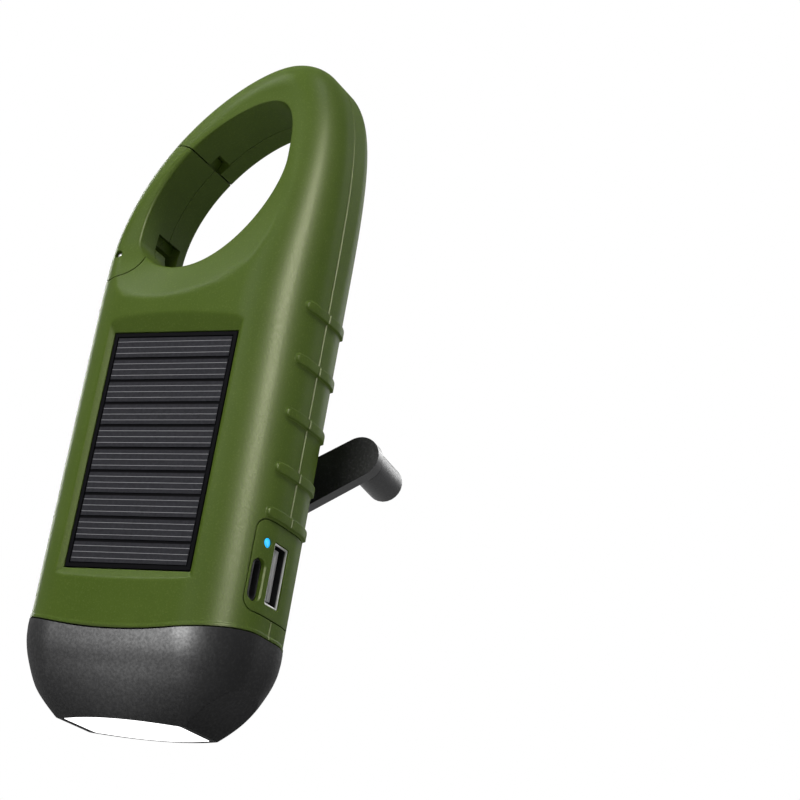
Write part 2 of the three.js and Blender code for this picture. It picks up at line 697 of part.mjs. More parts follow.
const HOLE_ENDS = [HOLE_TOP, HOLE_RIGHT, HOLE_BOTTOM, HOLE_LEFT];
const HOLE_POINTS = curvePoints(quarterCurves(...HOLE_ENDS, quarterReaches(...HOLE_ENDS, HOLE_REACH_SHARES)));

function ringHole() {
  const reach = FRONT_DEPTH + CROWN + CUT_OVERRUN;
  return prismY(polygon([...HOLE_POINTS].reverse()), -reach, reach);
}

// How far a ray from a point of the hole runs before it meets a wider curve
function rayReach([x, z], [dx, dz], curve) {
  const reaches = curve.map(([ax, az], i) => {
    const [bx, bz] = curve[(i + 1) % curve.length];
    const [ex, ez] = [bx - ax, bz - az];
    const cross = dx * ez - dz * ex;
    const along = ((ax - x) * ez - (az - z) * ex) / cross;
    const share = ((ax - x) * dz - (az - z) * dx) / cross;
    return along > 0 && share >= 0 && share <= 1 ? along : Infinity;
  });
  return Math.min(...reaches);
}

// A slanting cutter whose skin runs from the hole's edge, square to it, to a wider oval
function dishCutter(edge, places, inner, outer, sign) {
  const ends = [
    { x: HALF_WIDTH * places.topX, z: RING_TOP + edge.up },
    { x: HALF_WIDTH + edge.right, z: RING_START + RING_RISE * places.rightZ },
    { x: HALF_WIDTH * places.bottomX, z: RING_START - edge.down },
    { x: -HALF_WIDTH - edge.left, z: RING_START + RING_RISE * places.leftZ }];
  const even = Object.fromEntries(Object.keys(HOLE_REACH_SHARES).map((key) => [key, DISH_HANDLE_SHARE]));
  const wide = curvePoints(quarterCurves(...ends, quarterReaches(...ends, even)));
  const count = HOLE_POINTS.length;
  const rays = HOLE_POINTS.map((point, i) => {
    const [before, after] = [HOLE_POINTS[(i + count - 1) % count], HOLE_POINTS[(i + 1) % count]];
    const [tx, tz] = [after[0] - before[0], after[1] - before[1]];
    const length = Math.hypot(tx, tz);
    const outward = [-tz / length, tx / length];
    return { point, outward, reach: rayReach(point, outward, wide) };
  });
  const rowAt = (along) => rays.map(({ point, outward, reach }) => [
    point[0] + outward[0] * reach * along, sign * mix(inner, outer, along), point[1] + outward[1] * reach * along]);
  const rows = [rowAt(-DISH_OVERRUN_SHARE), rowAt(1 + DISH_OVERRUN_SHARE)];
  if (sign < 0) rows.forEach((row) => row.reverse());
  return toSolid(loftedGeometry(rows));
}

// Gate: everything is drawn in turns and reaches about the pivot pin

function pivotPoint(radius, angle) {
  return [PIVOT_X + radius * Math.cos(angle), PIVOT_Z + radius * Math.sin(angle)];
}

// A slice of a ring about the pivot
function pivotSector(inner, outer, from, to) {
  const shape = new THREE.Shape();
  shape.moveTo(...pivotPoint(inner, from));
  shape.lineTo(...pivotPoint(outer, from));
  shape.absarc(PIVOT_X, PIVOT_Z, outer, from, to, false);
  if (inner > 0) {
    shape.lineTo(...pivotPoint(inner, to));
    shape.absarc(PIVOT_X, PIVOT_Z, inner, to, from, true);
  }
  shape.closePath();
  return shape;
}

const GATE_ZONE_END = 200 * DEGREE;
const GATE_FOOT_START = -160 * DEGREE;
const DEEP = FRONT_DEPTH + CROWN + CUT_OVERRUN;

// The room that the gate and its fork need in the ring, around the lug that stays on the body
function gateRoom() {
  const arc = prismY(pivotSector(0, GATE_REACH, GATE_ROOM_START, GATE_ZONE_END), -DEEP, DEEP, ROUND_SIDES);
  const knuckle = rodY(PIVOT_X, PIVOT_Z, KNUCKLE_RADIUS + FIT_GAP, -DEEP, DEEP, LARGE_SIDES);
  const lug = rodY(PIVOT_X, PIVOT_Z, LUG_RADIUS, LUG_FRONT, LUG_BACK, LARGE_SIDES);
  const below = pivotSector(0, KNUCKLE_RADIUS + CUT_OVERRUN, GATE_FOOT_START, 0);
  const foot = prismY(below, LUG_FRONT, LUG_BACK, ROUND_SIDES);
  return without(joined(arc, knuckle), lug, foot);
}

function latchSlot() {
  const outer = GATE_REACH + TONGUE_LENGTH + FIT_GAP;
  const edge = TONGUE_ANGLES.outer + FIT_GAP / GATE_REACH;
  const sector = pivotSector(GATE_REACH - CUT_OVERRUN, outer, SLOT_OPEN_ANGLE, edge);
  return prismY(sector, TONGUE_FRONT - FIT_GAP, TONGUE_BACK + FIT_GAP, ARC_STEPS);
}

function gateBlank(ring) {
  const arc = prismY(pivotSector(0, GATE_REACH - FIT_GAP, GATE_OPEN_ANGLE, GATE_ZONE_END), -DEEP, DEEP, ROUND_SIDES);
  const knuckle = rodY(PIVOT_X, PIVOT_Z, KNUCKLE_RADIUS, -DEEP, DEEP, LARGE_SIDES);
  const fork = rodY(PIVOT_X, PIVOT_Z, KNUCKLE_RADIUS + CUT_OVERRUN, GATE_FORK_FRONT, GATE_FORK_BACK, LARGE_SIDES);
  const pocketSector = pivotSector(0, GATE_POCKET_REACH, -90 * DEGREE, GATE_POCKET_ANGLE);
  const pocket = prismY(pocketSector, GATE_FORK_FRONT, GATE_FORK_BACK, SMALL_SIDES);
  const bore = rodY(PIVOT_X, PIVOT_Z, GATE_PIN_RADIUS + RUN_GAP, -DEEP, DEEP);
  return without(ring.intersect(joined(arc, knuckle)), fork, pocket, bore);
}

function gateTongue() {
  const { inner, outer } = TONGUE_ANGLES;
  const nose = pivotSector(GATE_REACH, GATE_REACH + TONGUE_LENGTH, inner, outer);
  const root = pivotSector(GATE_REACH - TONGUE_ROOT, GATE_REACH + FIT_GAP, inner, outer);
  const rootBack = GATE_SEAM_Y - SEAM_GAP / 2;
  return joined(prismY(nose, TONGUE_FRONT, TONGUE_BACK, ARC_STEPS), prismY(root, TONGUE_FRONT, rootBack, ARC_STEPS));
}

function gateHalves(ring) {
  const blank = gateBlank(ring);
  const half = SEAM_GAP / 2;
  const frontRoom = box(-HALF_WIDTH * 2, HALF_WIDTH, -DEEP, GATE_SEAM_Y - half, RING_START - WALL * 4, RING_TOP);
  const backRoom = box(-HALF_WIDTH * 2, HALF_WIDTH, GATE_SEAM_Y + half, DEEP, RING_START - WALL * 4, RING_TOP);
  return {
    front: joined(blank.intersect(frontRoom), gateTongue()),
    back: blank.intersect(backRoom),
  };
}

// Torsion spring on the gate's pin: a helix with two short legs
function gateSpring() {
  const points = [];
  const steps = SPRING_TURNS * SPRING_STEPS_PER_TURN;
  for (let k = 0; k <= steps; k += 1) {
    const angle = SPRING_START_ANGLE + (k / SPRING_STEPS_PER_TURN) * FULL_TURN;
    const [x, z] = pivotPoint(SPRING_RADIUS, angle);
    points.push(new THREE.Vector3(x, SPRING_FRONT + (k / SPRING_STEPS_PER_TURN) * SPRING_PITCH, z));
  }
  const clearTurn = Math.round(SPRING_STEPS_PER_TURN * 0.75);
  const gaps = points.flatMap((p, i) => points.slice(i + clearTurn).map((q) => p.distanceTo(q) - SPRING_WIRE * 2));
  console.log(`gate_spring least gap to itself: ${Math.min(...gaps).toFixed(2)} mm`);
  const legFrom = (point, toward) => point.clone().add(toward.clone().multiplyScalar(SPRING_LEG));
  const tangentAt = (a, b) => b.clone().sub(a).setY(0).normalize();
  const first = legFrom(points[0], tangentAt(points[1], points[0]));
  const last = legFrom(points[steps], tangentAt(points[steps - 1], points[steps]));
  const path = new THREE.CatmullRomCurve3([first, ...points, last]);
  const section = new THREE.Shape();
  for (let k = 0; k < SPRING_SIDES; k += 1) {
    const angle = (k / SPRING_SIDES) * FULL_TURN;
    const [u, v] = [SPRING_WIRE * Math.cos(angle), SPRING_WIRE * Math.sin(angle)];
    if (k === 0) section.moveTo(u, v);
    else section.lineTo(u, v);
  }
  section.closePath();
  const options = { steps: steps + 4, extrudePath: path, bevelEnabled: false };
  return toSolid(new THREE.ExtrudeGeometry(section, options));
}

// Grip ribs: a rounded bar carried along the side of the section

function ribPath(z, offset) {
  const section = straightSection(z).filter(([x]) => x > 0);
  const ordered = section.sort((a, b) => a[1] - b[1]).map(([x, y]) => new THREE.Vector2(x, y));
  const curve = new THREE.SplineCurve(ordered.filter((p) => Math.abs(p.y) < FRONT_DEPTH - WALL));
  const dense = curve.getPoints(RIB_SAMPLES);
  const at = (y) => dense.reduce((best, p) => (Math.abs(p.y - y) < Math.abs(best.y - y) ? p : best));
  const points = [];
  for (let k = 0; k <= RIB_STEPS; k += 1) {
    const y = mix(RIB_FRONT_Y, RIB_BACK_Y, k / RIB_STEPS);
    const here = at(y);
    const ahead = at(y + RIB_SINK);
    const behind = at(y - RIB_SINK);
    const tangent = ahead.clone().sub(behind).normalize();
    points.push([here.x + tangent.y * offset, here.y - tangent.x * offset]);
  }
  return points;
}

function gripRib(z, side) {
  const half = RIB_HEIGHT / 2;
  const shoulder = half * RIB_TOP_SHARE;
  const profile = [[-RIB_SINK, -half], [RIB_PROUD * RIB_TOP_SHARE, -half], [RIB_PROUD, -shoulder],
    [RIB_PROUD, shoulder], [RIB_PROUD * RIB_TOP_SHARE, half], [-RIB_SINK, half]];
  const tracks = profile.map(([offset, dz]) => ribPath(z, offset).map(([x, y]) => [side * x, y, z + dz]));
  const rows = tracks[0].map((_, i) => tracks.map((track) => track[i]));
  if (side > 0) rows.reverse();
  return toSolid(loftedGeometry(rows));
}

// Solar panel

function panelRecess() {
  const floorY = PANEL_FACE;
  const halfWidth = PANEL_WIDTH / 2 + FIT_GAP;
  const bottom = PANEL_BOTTOM - FIT_GAP;
  const top = PANEL_BOTTOM + PANEL_LENGTH + FIT_GAP;
  const pocket = box(-halfWidth, halfWidth, floorY - CUT_OVERRUN, floorY + PANEL_THICKNESS, bottom, top);
  const ring = (rise) => {
    const side = halfWidth + rise * RECESS_SIDE_SLOPE_SHARE;
    const low = bottom - rise * RECESS_BOTTOM_SLOPE_SHARE;
    const high = top + rise * RECESS_TOP_SLOPE_SHARE;
    const y = floorY - rise;
    return [[-side, y, low], [side, y, low], [side, y, high], [-side, y, high]];
  };
  const ramp = toSolid(loftedGeometry([ring(-SEAM_GAP), ring(RECESS_RISE)].map((row) => row)));
  return joined(pocket, ramp);
}

function solarPanel() {
  const half = PANEL_WIDTH / 2;
  const board = box(-half, half, PANEL_FACE, PANEL_FACE + PANEL_THICKNESS, PANEL_BOTTOM, PANEL_BOTTOM + PANEL_LENGTH);
  const inner = half - PANEL_BORDER + FIT_GAP;
  const low = PANEL_BOTTOM + PANEL_BORDER - FIT_GAP;
  const high = PANEL_BOTTOM + PANEL_LENGTH - PANEL_BORDER + FIT_GAP;
  const tray = box(-inner, inner, PANEL_FACE - CUT_OVERRUN, PANEL_FACE + CELL_THICKNESS, low, high);
  return without(board, tray);
}

function solarCells() {
  const half = PANEL_WIDTH / 2 - PANEL_BORDER;
  const low = PANEL_BOTTOM + PANEL_BORDER;
  const length = PANEL_LENGTH - PANEL_BORDER * 2;
  const sheet = box(-half, half, PANEL_FACE, PANEL_FACE + CELL_THICKNESS, low, low + length);
  const pitch = (length + CELL_GAP) / CELL_COUNT;
  const grooves = [];
  for (let k = 1; k < CELL_COUNT; k += 1) {
    const z = low + k * pitch - CELL_GAP;
    grooves.push(box(-half - CUT_OVERRUN, half + CUT_OVERRUN, PANEL_FACE - CUT_OVERRUN,
      PANEL_FACE + CELL_GROOVE, z, z + CELL_GAP));
  }
  return without(sheet, ...grooves);
}

// Port panel and sockets

function portOutline(grow) {
  const width = PORT_PANEL_WIDTH + grow * 2;
  const height = PORT_PANEL_HEIGHT + grow * 2;
  return centred(width, height, PORT_PANEL_CORNER + grow, 0, PORT_PANEL_Z);
}

function portWindow() {
  const low = PORT_PANEL_Z - PORT_PANEL_HEIGHT;
  const high = PORT_PANEL_Z + PORT_PANEL_HEIGHT;
  const seat = prismX(portOutline(FIT_GAP), HALF_WIDTH / 2, HALF_WIDTH + CUT_OVERRUN, ARC_STEPS);
  const core = bodyPrism(PORT_PANEL_THICKNESS + FIT_GAP, low, high);
  const through = prismX(portOutline(-PORT_PANEL_LEDGE), HALF_WIDTH / 2, HALF_WIDTH + CUT_OVERRUN, ARC_STEPS);
  return joined(without(seat, core), through);
}

function socketOpenings(gap) {
  const usb = centred(USB_THICKNESS + gap * 2, USB_HEIGHT + gap * 2, gap + USB_SHEET, USB_Y, USB_Z);
  const thickness = OVAL_THICKNESS + gap * 2;
  const oval = centred(thickness, OVAL_HEIGHT + gap * 2, thickness / 2, OVAL_Y, OVAL_Z);
  const far = HALF_WIDTH + CUT_OVERRUN;
  return joined(prismX(usb, HALF_WIDTH / 2, far, ARC_STEPS), prismX(oval, HALF_WIDTH / 2, far, ARC_STEPS),
    rodX(PILOT_Y, PILOT_Z, PILOT_RADIUS + gap, HALF_WIDTH / 2, far, SMALL_SIDES));
}

function portPanel() {
  const low = PORT_PANEL_Z - PORT_PANEL_HEIGHT;
  const high = PORT_PANEL_Z + PORT_PANEL_HEIGHT;
  const slab = without(bodyPrism(0, low, high), bodyPrism(PORT_PANEL_THICKNESS, low - CUT_OVERRUN, high + CUT_OVERRUN));
  const plate = slab.intersect(prismX(portOutline(0), HALF_WIDTH / 2, HALF_WIDTH + CUT_OVERRUN, ARC_STEPS));
  return without(plate, socketOpenings(RUN_GAP));
}

function usbShell() {
  const outer = centred(USB_THICKNESS, USB_HEIGHT, USB_SHEET, USB_Y, USB_Z);
  const inner = centred(USB_THICKNESS - USB_SHEET * 2, USB_HEIGHT - USB_SHEET * 2, USB_SHEET / 2, USB_Y, USB_Z);
  const back = USB_FACE - USB_DEPTH;
  return without(prismX(outer, back, USB_FACE, ARC_STEPS), prismX(inner, back + USB_SHEET, USB_FACE + CUT_OVERRUN, ARC_STEPS));
}

function usbTongue() {
  const back = USB_FACE - USB_DEPTH + USB_SHEET + RUN_GAP;
  const halfY = USB_THICKNESS / 2 - USB_SHEET - RUN_GAP;
  const halfZ = USB_HEIGHT / 2 - USB_SHEET - RUN_GAP;
  const base = box(back, back + USB_BASE, USB_Y - halfY, USB_Y + halfY, USB_Z - halfZ, USB_Z + halfZ);
  const y = USB_Y - USB_SHEET - FIT_GAP;
  const half = USB_TONGUE_HEIGHT / 2;
  const blade = box(back, back + USB_BASE + USB_TONGUE_LENGTH, y - USB_TONGUE_THICKNESS / 2,
    y + USB_TONGUE_THICKNESS / 2, USB_Z - half, USB_Z + half);
  return joined(base, blade);
}

function ovalShape(shrink) {
  const thickness = OVAL_THICKNESS - shrink * 2;
  return centred(thickness, OVAL_HEIGHT - shrink * 2, thickness / 2, OVAL_Y, OVAL_Z);
}

function ovalShell() {
  const back = OVAL_FACE - OVAL_DEPTH;
  return without(prismX(ovalShape(0), back, OVAL_FACE, ARC_STEPS),
    prismX(ovalShape(OVAL_SHEET), back + OVAL_SHEET, OVAL_FACE + CUT_OVERRUN, ARC_STEPS));
}

function ovalTongue() {
  const back = OVAL_FACE - OVAL_DEPTH + OVAL_SHEET + RUN_GAP;
  const base = prismX(ovalShape(OVAL_SHEET + RUN_GAP), back, back + OVAL_BASE, ARC_STEPS);
  const half = OVAL_TONGUE_THICKNESS / 2;
  const reach = OVAL_TONGUE_HEIGHT / 2;
  const blade = box(back, OVAL_FACE - OVAL_BASE / 2, OVAL_Y - half, OVAL_Y + half, OVAL_Z - reach, OVAL_Z + reach);
  return joined(base, blade);
}

function pilotLight() {
  return rodX(PILOT_Y, PILOT_Z, PILOT_RADIUS, PILOT_BACK, PILOT_FACE, SMALL_SIDES);
}

// Shells

function bodyCavity() {
  const low = HEAD_SEAM - CAVITY_OVERRUN;
  const outline = roundedRectangle(-CAVITY_SIDE, -CAVITY_FRONT, CAVITY_SIDE, CAVITY_BACK, CAVITY_CORNER);
  return prismZ(outline, low, CAVITY_TOP, ARC_STEPS);
}

// The room that inner ribs and bosses may fill: up to the middle of the wall
function wallCore() {
  return bodyPrism(WALL / 2, HEAD_SEAM + HEAD_SEAM_RISE, CAVITY_TOP + WALL / 2);
}

function caseBosses(front) {
  return CASE_SCREWS.filter(([, z]) => z < CAVITY_TOP).map(([x, z]) => (front
    ? rodY(x, z, BOSS_RADIUS, -CAVITY_FRONT - WALL / 2, -SEAM_GAP / 2, 16)
    : rodY(x, z, BOSS_RADIUS, SEAM_GAP / 2, CAVITY_BACK + WALL / 4, SMALL_SIDES)));
}

function caseScrewHoles() {
  return CASE_SCREWS.map(([x, z]) => {
    const seat = z > CAVITY_TOP ? SPINE_SCREW_SEAT : SCREW_SEAT;
    const shank = rodY(x, z, SCREW_SHANK_RADIUS + RUN_GAP, SCREW_TIP - FIT_GAP, DEEP, SMALL_SIDES);
    const head = rodY(x, z, SCREW_HEAD_RADIUS + FIT_GAP, seat - RUN_GAP, DEEP, SMALL_SIDES);
    return joined(shank, head);
  });
}

// The surface that parts the body from the lamp head, as a block below it
function belowHeadSeam(gap, drop = 0) {
  const radius = (HALF_WIDTH ** 2 + HEAD_SEAM_RISE ** 2) / (HEAD_SEAM_RISE * 2);
  const reach = HALF_WIDTH + CUT_OVERRUN;
  const steps = 16;
  const points = [];
  for (let k = 0; k <= steps; k += 1) {
    const x = mix(-reach, reach, k / steps);
    points.push([x, HEAD_SEAM - drop + gap + radius - Math.sqrt(radius * radius - x * x)]);
  }
  points.push([reach, -CUT_OVERRUN], [-reach, -CUT_OVERRUN]);
  return prismY(polygon(points.reverse()), -DEEP, DEEP);
}

function saddles() {
  const zs = [CELL_BOTTOM + SADDLE_INSET, CELL_BOTTOM + CELL_LENGTH - SADDLE_INSET];
  const cell = rodZ(CELL_X, CELL_Y, CELL_RADIUS + FIT_GAP, CELL_BOTTOM, CELL_BOTTOM + CELL_LENGTH);
  const back = -CAVITY_FRONT + SADDLE_DEPTH;
  return zs.map((z) => without(box(CELL_X - SADDLE_WIDTH / 2, CELL_X + SADDLE_WIDTH / 2,
    -CAVITY_FRONT - WALL / 2, back, z - SADDLE_SHEET / 2, z + SADDLE_SHEET / 2), cell));
}

// Walls that stand behind the two contacts
function contactWalls() {
  const room = CONTACT_SHEET + RUN_GAP * 2;
  const lows = [CELL_BOTTOM - room - CONTACT_WALL, CELL_BOTTOM + CELL_LENGTH + room];
  return lows.map((z) => box(CELL_X - CONTACT_WIDTH / 2, CELL_X + CONTACT_WIDTH / 2,
    -CAVITY_FRONT - WALL / 2, CONTACT_WALL_BACK, z, z + CONTACT_WALL));
}

function boardPosts() {
  const top = BOARD_FRONT - FIT_GAP;
  return BOARD_POSTS.map(([x, z]) => rodY(x, z, BOARD_POST_RADIUS, -CAVITY_FRONT - WALL / 2, top, SMALL_SIDES));
}

function buttonHole() {
  const outline = centred(BUTTON_WIDTH + FIT_GAP * 2, BUTTON_HEIGHT + FIT_GAP * 2, BUTTON_CORNER + FIT_GAP, 0, BUTTON_Z);
  return prismX(outline, -HALF_WIDTH - CUT_OVERRUN, -HALF_WIDTH / 2, ARC_STEPS);
}

// The last rib on the right stands a little higher, clear of the port panel
function ribHeights(side) {
  return Array.from({ length: RIB_COUNT }, (_, k) => {
    const lift = side > 0 && k === RIB_COUNT - 1 ? LAST_RIB_LIFT : 0;
    return RING_START - RIB_TOP_DROP - RIB_PITCH * k + lift;
  });
}

const RIBS = [1, -1].flatMap((side) => ribHeights(side).map((z) => gripRib(z, side)));
const BLANK = joined(bodyBlank(), ...RIBS);
const DISHED = without(BLANK, ringHole(),
  dishCutter(DISH_FRONT_EDGE, DISH_FRONT_SHARES, DISH_FRONT_INNER, DISH_FRONT_OUTER, -1),
  dishCutter(DISH_BACK_EDGE, DISH_BACK_SHARES, DISH_BACK_INNER, DISH_BACK_OUTER, 1));
const HOUSING = without(DISHED, gateRoom(), latchSlot(), belowHeadSeam(0),
  rodY(PIVOT_X, PIVOT_Z, GATE_PIN_RADIUS + RUN_GAP, -DEEP, DEEP));

function halfSpace(front) {
  const half = SEAM_GAP / 2;
  const reach = HALF_WIDTH * 2;
  return front
    ? box(-reach, reach, -DEEP * 2, -half, -CUT_OVERRUN, RING_TOP + CUT_OVERRUN)
    : box(-reach, reach, half, DEEP * 2, -CUT_OVERRUN, RING_TOP + CUT_OVERRUN);
}

function frontShell() {
  const hollow = without(HOUSING, bodyCavity(), panelRecess());
  const inside = joined(...caseBosses(true), ...saddles(), ...contactWalls(), ...boardPosts());
  const fitted = joined(hollow.intersect(halfSpace(true)), inside.intersect(wallCore()));
  return without(fitted, portWindow(), socketOpenings(FIT_GAP), buttonHole(), ...caseScrewHoles());
}

function pocketLoft(grow, floorY, mouthY) {
  const rowAt = (y, top) => {
    const half = POCKET_HALF_WIDTH + grow;
    const shape = roundedRectangle(-half, POCKET_BOTTOM_Z - grow, half, top + grow, POCKET_CORNER + grow);
    return shape.getPoints(4).map((p) => [p.x, y, p.y]);
  };
  const rows = [rowAt(mouthY, POCKET_MOUTH_TOP_Z), rowAt(floorY, POCKET_FLOOR_TOP_Z)];
  return toSolid(loftedGeometry(rows));
}

function gearCentres() {
  const radius = (gear) => gear.teeth * gear.module / 2;
  const next = ([x, z], distance, angle) => [x + distance * Math.cos(angle), z + distance * Math.sin(angle)];
  const crank = [0, HUB_Z];
  const idler1 = next(crank, radius(CRANK_WHEEL) + radius(IDLER_1_PINION), IDLER_1_ANGLE);
  const idler2 = next(idler1, radius(IDLER_1_WHEEL) + radius(IDLER_2_PINION), IDLER_2_ANGLE);
  const rotor = next(idler2, radius(IDLER_2_WHEEL) + radius(ROTOR_PINION), ROTOR_ANGLE);
  return { crank, idler1, idler2, rotor };
}

const CENTRES = gearCentres();
const PLATE_SCREWS = [
  [LOW_PLATE_SCREW.x, HUB_Z - LOW_PLATE_SCREW.drop],
  [CENTRES.rotor[0] + HIGH_PLATE_SCREW.reach * Math.cos(HIGH_PLATE_SCREW.angle),
    CENTRES.rotor[1] + HIGH_PLATE_SCREW.reach * Math.sin(HIGH_PLATE_SCREW.angle)]];

function backShell() {
  const hollow = without(HOUSING, bodyCavity()).intersect(halfSpace(false));
  const inner = CAVITY_BACK + WALL / 4;
  const bushBoss = rodY(0, HUB_Z, BUSH_RADIUS + BUSH_BOSS_WALL, BUSH_FRONT, inner, ROUND_SIDES);
  const axleBosses = [
    rodY(...CENTRES.idler1, AXLE_BOSS_RADIUS, IDLER_1_PINION.back + FIT_GAP, inner, SMALL_SIDES),
    rodY(...CENTRES.idler2, AXLE_BOSS_RADIUS, IDLER_2_PINION.back + FIT_GAP, inner, 16)];
  const plateBosses = PLATE_SCREWS.map(([x, z]) => rodY(x, z, BOSS_RADIUS, PLATE_BACK + FIT_GAP, inner, SMALL_SIDES));
  const pocketWall = pocketLoft(POCKET_WALL, POCKET_FLOOR_Y - POCKET_WALL, inner);
  const inside = joined(...caseBosses(false), bushBoss, ...axleBosses, ...plateBosses, pocketWall);
  const fitted = joined(hollow, inside.intersect(wallCore()));
  const axleHoles = [CENTRES.idler1, CENTRES.idler2].map(([x, z]) => (
    rodY(x, z, AXLE_RADIUS + RUN_GAP, PLATE_FRONT, AXLE_BACK + FIT_GAP, SMALL_SIDES)));
  const plateHoles = PLATE_SCREWS.map(([x, z]) => rodY(x, z, SCREW_SHANK_RADIUS + RUN_GAP, PLATE_FRONT,
    PLATE_FRONT + PLATE_SCREW_LENGTH + FIT_GAP, SMALL_SIDES));
  const bushHole = rodY(0, HUB_Z, BUSH_RADIUS + RUN_GAP, BUSH_FRONT - CUT_OVERRUN, DEEP, ROUND_SIDES);
  return without(fitted, portWindow(), buttonHole(), ...caseScrewHoles(), ...axleHoles, ...plateHoles, bushHole,
    pocketLoft(0, POCKET_FLOOR_Y, POCKET_MOUTH_Y));
}

// Fasteners

function screw(x, z, seat, tip, headRadius, head) {
  const body = joined(rodY(x, z, SCREW_SHANK_RADIUS, tip, seat + head / 2, SMALL_SIDES), rodY(x, z, headRadius, seat, seat + head, SMALL_SIDES));
  const slot = SCREW_SLOT / 2;
  const reach = headRadius * SCREW_SLOT_SHARE;
  const across = box(x - reach, x + reach, seat + head - SCREW_SLOT, seat + head + CUT_OVERRUN, z - slot, z + slot);
  const down = box(x - slot, x + slot, seat + head - SCREW_SLOT, seat + head + CUT_OVERRUN, z - reach, z + reach);
  return without(body, across, down);
}

function caseScrew([x, z]) {
  const seat = z > CAVITY_TOP ? SPINE_SCREW_SEAT : SCREW_SEAT;
  return screw(x, z, seat, SCREW_TIP, SCREW_HEAD_RADIUS, SCREW_HEAD);
}

function plateScrew([x, z]) {
  const head = PLATE_FRONT - RUN_GAP - PLATE_SCREW_HEAD;
  return joined(rodY(x, z, PLATE_SCREW_HEAD_RADIUS, head, PLATE_FRONT - RUN_GAP, SMALL_SIDES),
    rodY(x, z, SCREW_SHANK_RADIUS, head, PLATE_FRONT + PLATE_SCREW_LENGTH, SMALL_SIDES));
}

// Gears

function gearOutline(x, z, gear, phase) {
  const pitchRadius = gear.teeth * gear.module / 2;
  const root = pitchRadius - TOOTH_DEDENDUM_SHARE * gear.module;
  const tip = pitchRadius + TOOTH_ADDENDUM_SHARE * gear.module;
  const pitch = FULL_TURN / gear.teeth;
  const points = [];
  for (let k = 0; k < gear.teeth; k += 1) {
    const centre = phase + k * pitch;
    const corners = [[root, -TOOTH_ROOT_SHARE], [tip, -TOOTH_TIP_SHARE], [tip, TOOTH_TIP_SHARE], [root, TOOTH_ROOT_SHARE]];
    for (const [radius, share] of corners) {
      const angle = centre + share * pitch;
      points.push([x + radius * Math.cos(angle), z + radius * Math.sin(angle)]);
    }
  }
  return polygon(points);
}

function gear([x, z], spec, phase) {
  return prismY(gearOutline(x, z, spec, phase), spec.front, spec.back);
}

// A driven gear has a tooth gap where its driver's tooth points
function gapPhase(angle, spec) {
  return angle + Math.PI + FULL_TURN / spec.teeth / 2;
}

function crankGear() {
  const wheel = gear(CENTRES.crank, CRANK_WHEEL, IDLER_1_ANGLE);
  const bore = rodY(0, HUB_Z, SHAFT_RADIUS + RUN_GAP, CRANK_WHEEL.front - CUT_OVERRUN, CRANK_WHEEL.back + CUT_OVERRUN);
  return without(wheel, bore);
}

function idlerGear(centre, wheel, pinion, wheelAngle, pinionAngle) {
  const body = joined(gear(centre, wheel, wheelAngle), gear(centre, pinion, gapPhase(pinionAngle, pinion)));
  const bore = rodY(...centre, AXLE_RADIUS + RUN_GAP, wheel.front - CUT_OVERRUN, pinion.back + CUT_OVERRUN);
  return without(body, bore);
}

function rotorPinion() {
  const body = gear(CENTRES.rotor, ROTOR_PINION, gapPhase(ROTOR_ANGLE, ROTOR_PINION));
  const bore = rodY(...CENTRES.rotor, ROTOR_SHAFT_RADIUS + RUN_GAP / 2, ROTOR_PINION.front - CUT_OVERRUN, ROTOR_PINION.back + CUT_OVERRUN);
  return without(body, bore);
}

function idlerAxle([x, z]) {
  return rodY(x, z, AXLE_RADIUS, PLATE_FRONT + RUN_GAP, AXLE_BACK, SMALL_SIDES);
}

// Flat plate through all the bearings, with rounded ends at each
function gearPlate() {
  const stops = [PLATE_SCREWS[0], CENTRES.crank, CENTRES.idler1, CENTRES.idler2, CENTRES.rotor, PLATE_SCREWS[1]];
  const pieces = stops.map(([x, z]) => rodY(x, z, PLATE_MARGIN, PLATE_FRONT, PLATE_BACK, SMALL_SIDES));
  const links = [[0, 1], [0, 2], [1, 2], [2, 3], [1, 3], [3, 4], [3, 5], [4, 5]];
  for (const [a, b] of links) {
    const [from, to] = [stops[a], stops[b]];
    const length = Math.hypot(to[0] - from[0], to[1] - from[1]);
    const side = [-(to[1] - from[1]) / length * PLATE_MARGIN, (to[0] - from[0]) / length * PLATE_MARGIN];
    const strip = polygon([[from[0] - side[0], from[1] - side[1]], [to[0] - side[0], to[1] - side[1]],
      [to[0] + side[0], to[1] + side[1]], [from[0] + side[0], from[1] + side[1]]]);
    pieces.push(prismY(strip, PLATE_FRONT, PLATE_BACK));
  }
  const pocketRoom = pocketLoft(POCKET_WALL + FIT_GAP, PLATE_FRONT - CUT_OVERRUN, CAVITY_BACK);
  const through = (centre, radius) => rodY(...centre, radius, PLATE_FRONT - CUT_OVERRUN, PLATE_BACK + CUT_OVERRUN, ROUND_SIDES);
  return without(joined(...pieces), pocketRoom,
    through(CENTRES.crank, SHAFT_RADIUS + RUN_GAP), through(CENTRES.rotor, ROTOR_SHAFT_RADIUS + RUN_GAP),
    through(CENTRES.idler1, AXLE_RADIUS + RUN_GAP), through(CENTRES.idler2, AXLE_RADIUS + RUN_GAP),
    through(PLATE_SCREWS[0], SCREW_SHANK_RADIUS + RUN_GAP), through(PLATE_SCREWS[1], SCREW_SHANK_RADIUS + RUN_GAP));
}

// Generator

